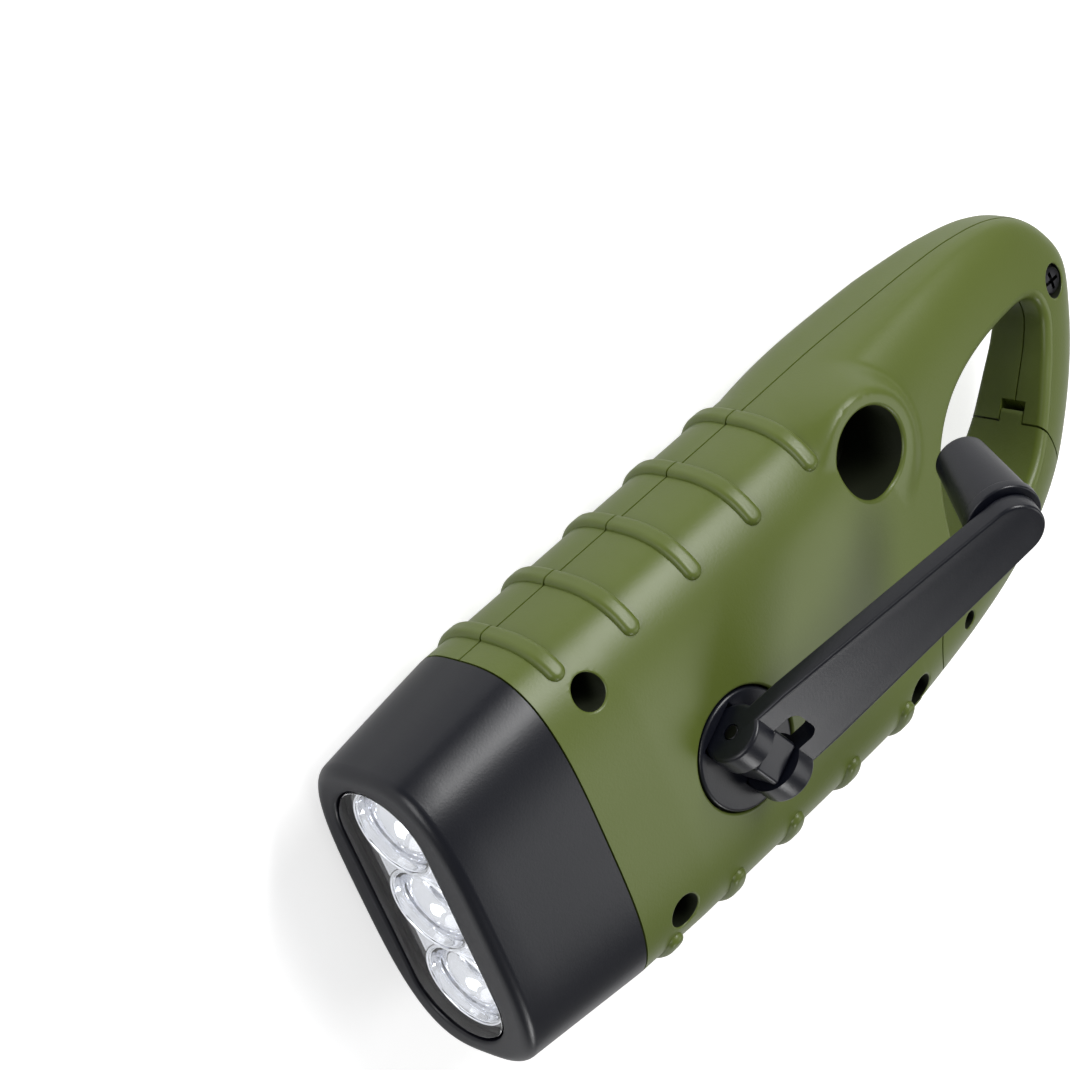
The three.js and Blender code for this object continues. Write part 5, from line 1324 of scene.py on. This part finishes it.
def makeCamera():
    camera = bpy.data.objects.new("camera", bpy.data.cameras.new("camera"))
    bpy.context.scene.collection.objects.link(camera)
    camera.data.sensor_width = view["sensor"]
    camera.data.lens = view["focalPixels"] / view["frameWidth"] * view["sensor"]
    camera.data.clip_start, camera.data.clip_end = 0.01, 20
    up, back = [-value for value in view["down"]], [-value for value in view["ahead"]]
    turn = Matrix([view["right"], up, back]).transposed()
    place = (np.array(view["place"]) + toFrame) / 1000
    camera.matrix_world = Matrix.Translation(Vector(place)) @ turn.to_4x4()
    bpy.context.scene.camera = camera


def areaLight(name, place, target, size, power):
    light = bpy.data.lights.new(name, "AREA")
    light.shape = "RECTANGLE"
    light.size, light.size_y = size
    light.energy = power
    placed = bpy.data.objects.new(name, light)
    placed.location = place
    placed.rotation_euler = (Vector(target) - Vector(place)).to_track_quat("-Z", "Y").to_euler()
    bpy.context.scene.collection.objects.link(placed)


# Sets a strength that is one level for rays from the camera or through glass, and another for light
def splitStrength(tree, target, socket, lightLevel, cameraLevel):
    path = addNode(tree, "LightPath")
    seen = addNode(tree, "Math", operation="MAXIMUM")
    span = addNode(tree, "MapRange", {"To Min": lightLevel, "To Max": cameraLevel})
    wire(
        tree, (path, "Is Camera Ray", seen, 0), (path, "Is Transmission Ray", seen, 1),
        (seen, "Value", span, "Value"), (span, "Result", target, socket),
    )


studio = {
    "world": 0.17, "floor": (0.86, 0.86, 0.86), "floorGlow": 0.55, "halfFloor": 4000,
    "lights": [
        ("keyLight", (-0.56, 0.36, 0.66), (0.24, 0.75), 7.4),
        ("topLight", (0.43, 0.48, 0.71), (0.6, 0.5), 1.9),
        ("sideLight", (0.8, -0.26, 0.38), (0.2, 0.3), 1.8),
        ("frontLight", (-0.3, -0.75, 0.3), (0.5, 0.3), 2.2),
    ],
}


def makeStudio():
    half = studio["halfFloor"]
    corners = [(-half, -half, 0), (half, -half, 0), (half, half, 0), (-half, half, 0)]
    floor = newObject("floor", corners, [(0, 1, 2, 3)])
    paint = newMaterial("floorPaint", studio["floor"], 0.9)
    principled(paint).inputs["Emission Color"].default_value = (1, 1, 1, 1)
    splitStrength(paint.node_tree, principled(paint), "Emission Strength", 0.0, studio["floorGlow"])
    floor.data.materials.append(paint)
    world = bpy.data.worlds.new("studio")
    bpy.context.scene.world = world
    world.use_nodes = True
    background = world.node_tree.nodes["Background"]
    background.inputs["Color"].default_value = (1, 1, 1, 1)
    splitStrength(world.node_tree, background, "Strength", studio["world"], 1.0)
    for name, place, size, power in studio["lights"]:
        areaLight(name, place, (0, 0, 0.02), size, power)


makeCamera()
makeStudio()
bpy.context.scene.view_settings.view_transform = "Standard"
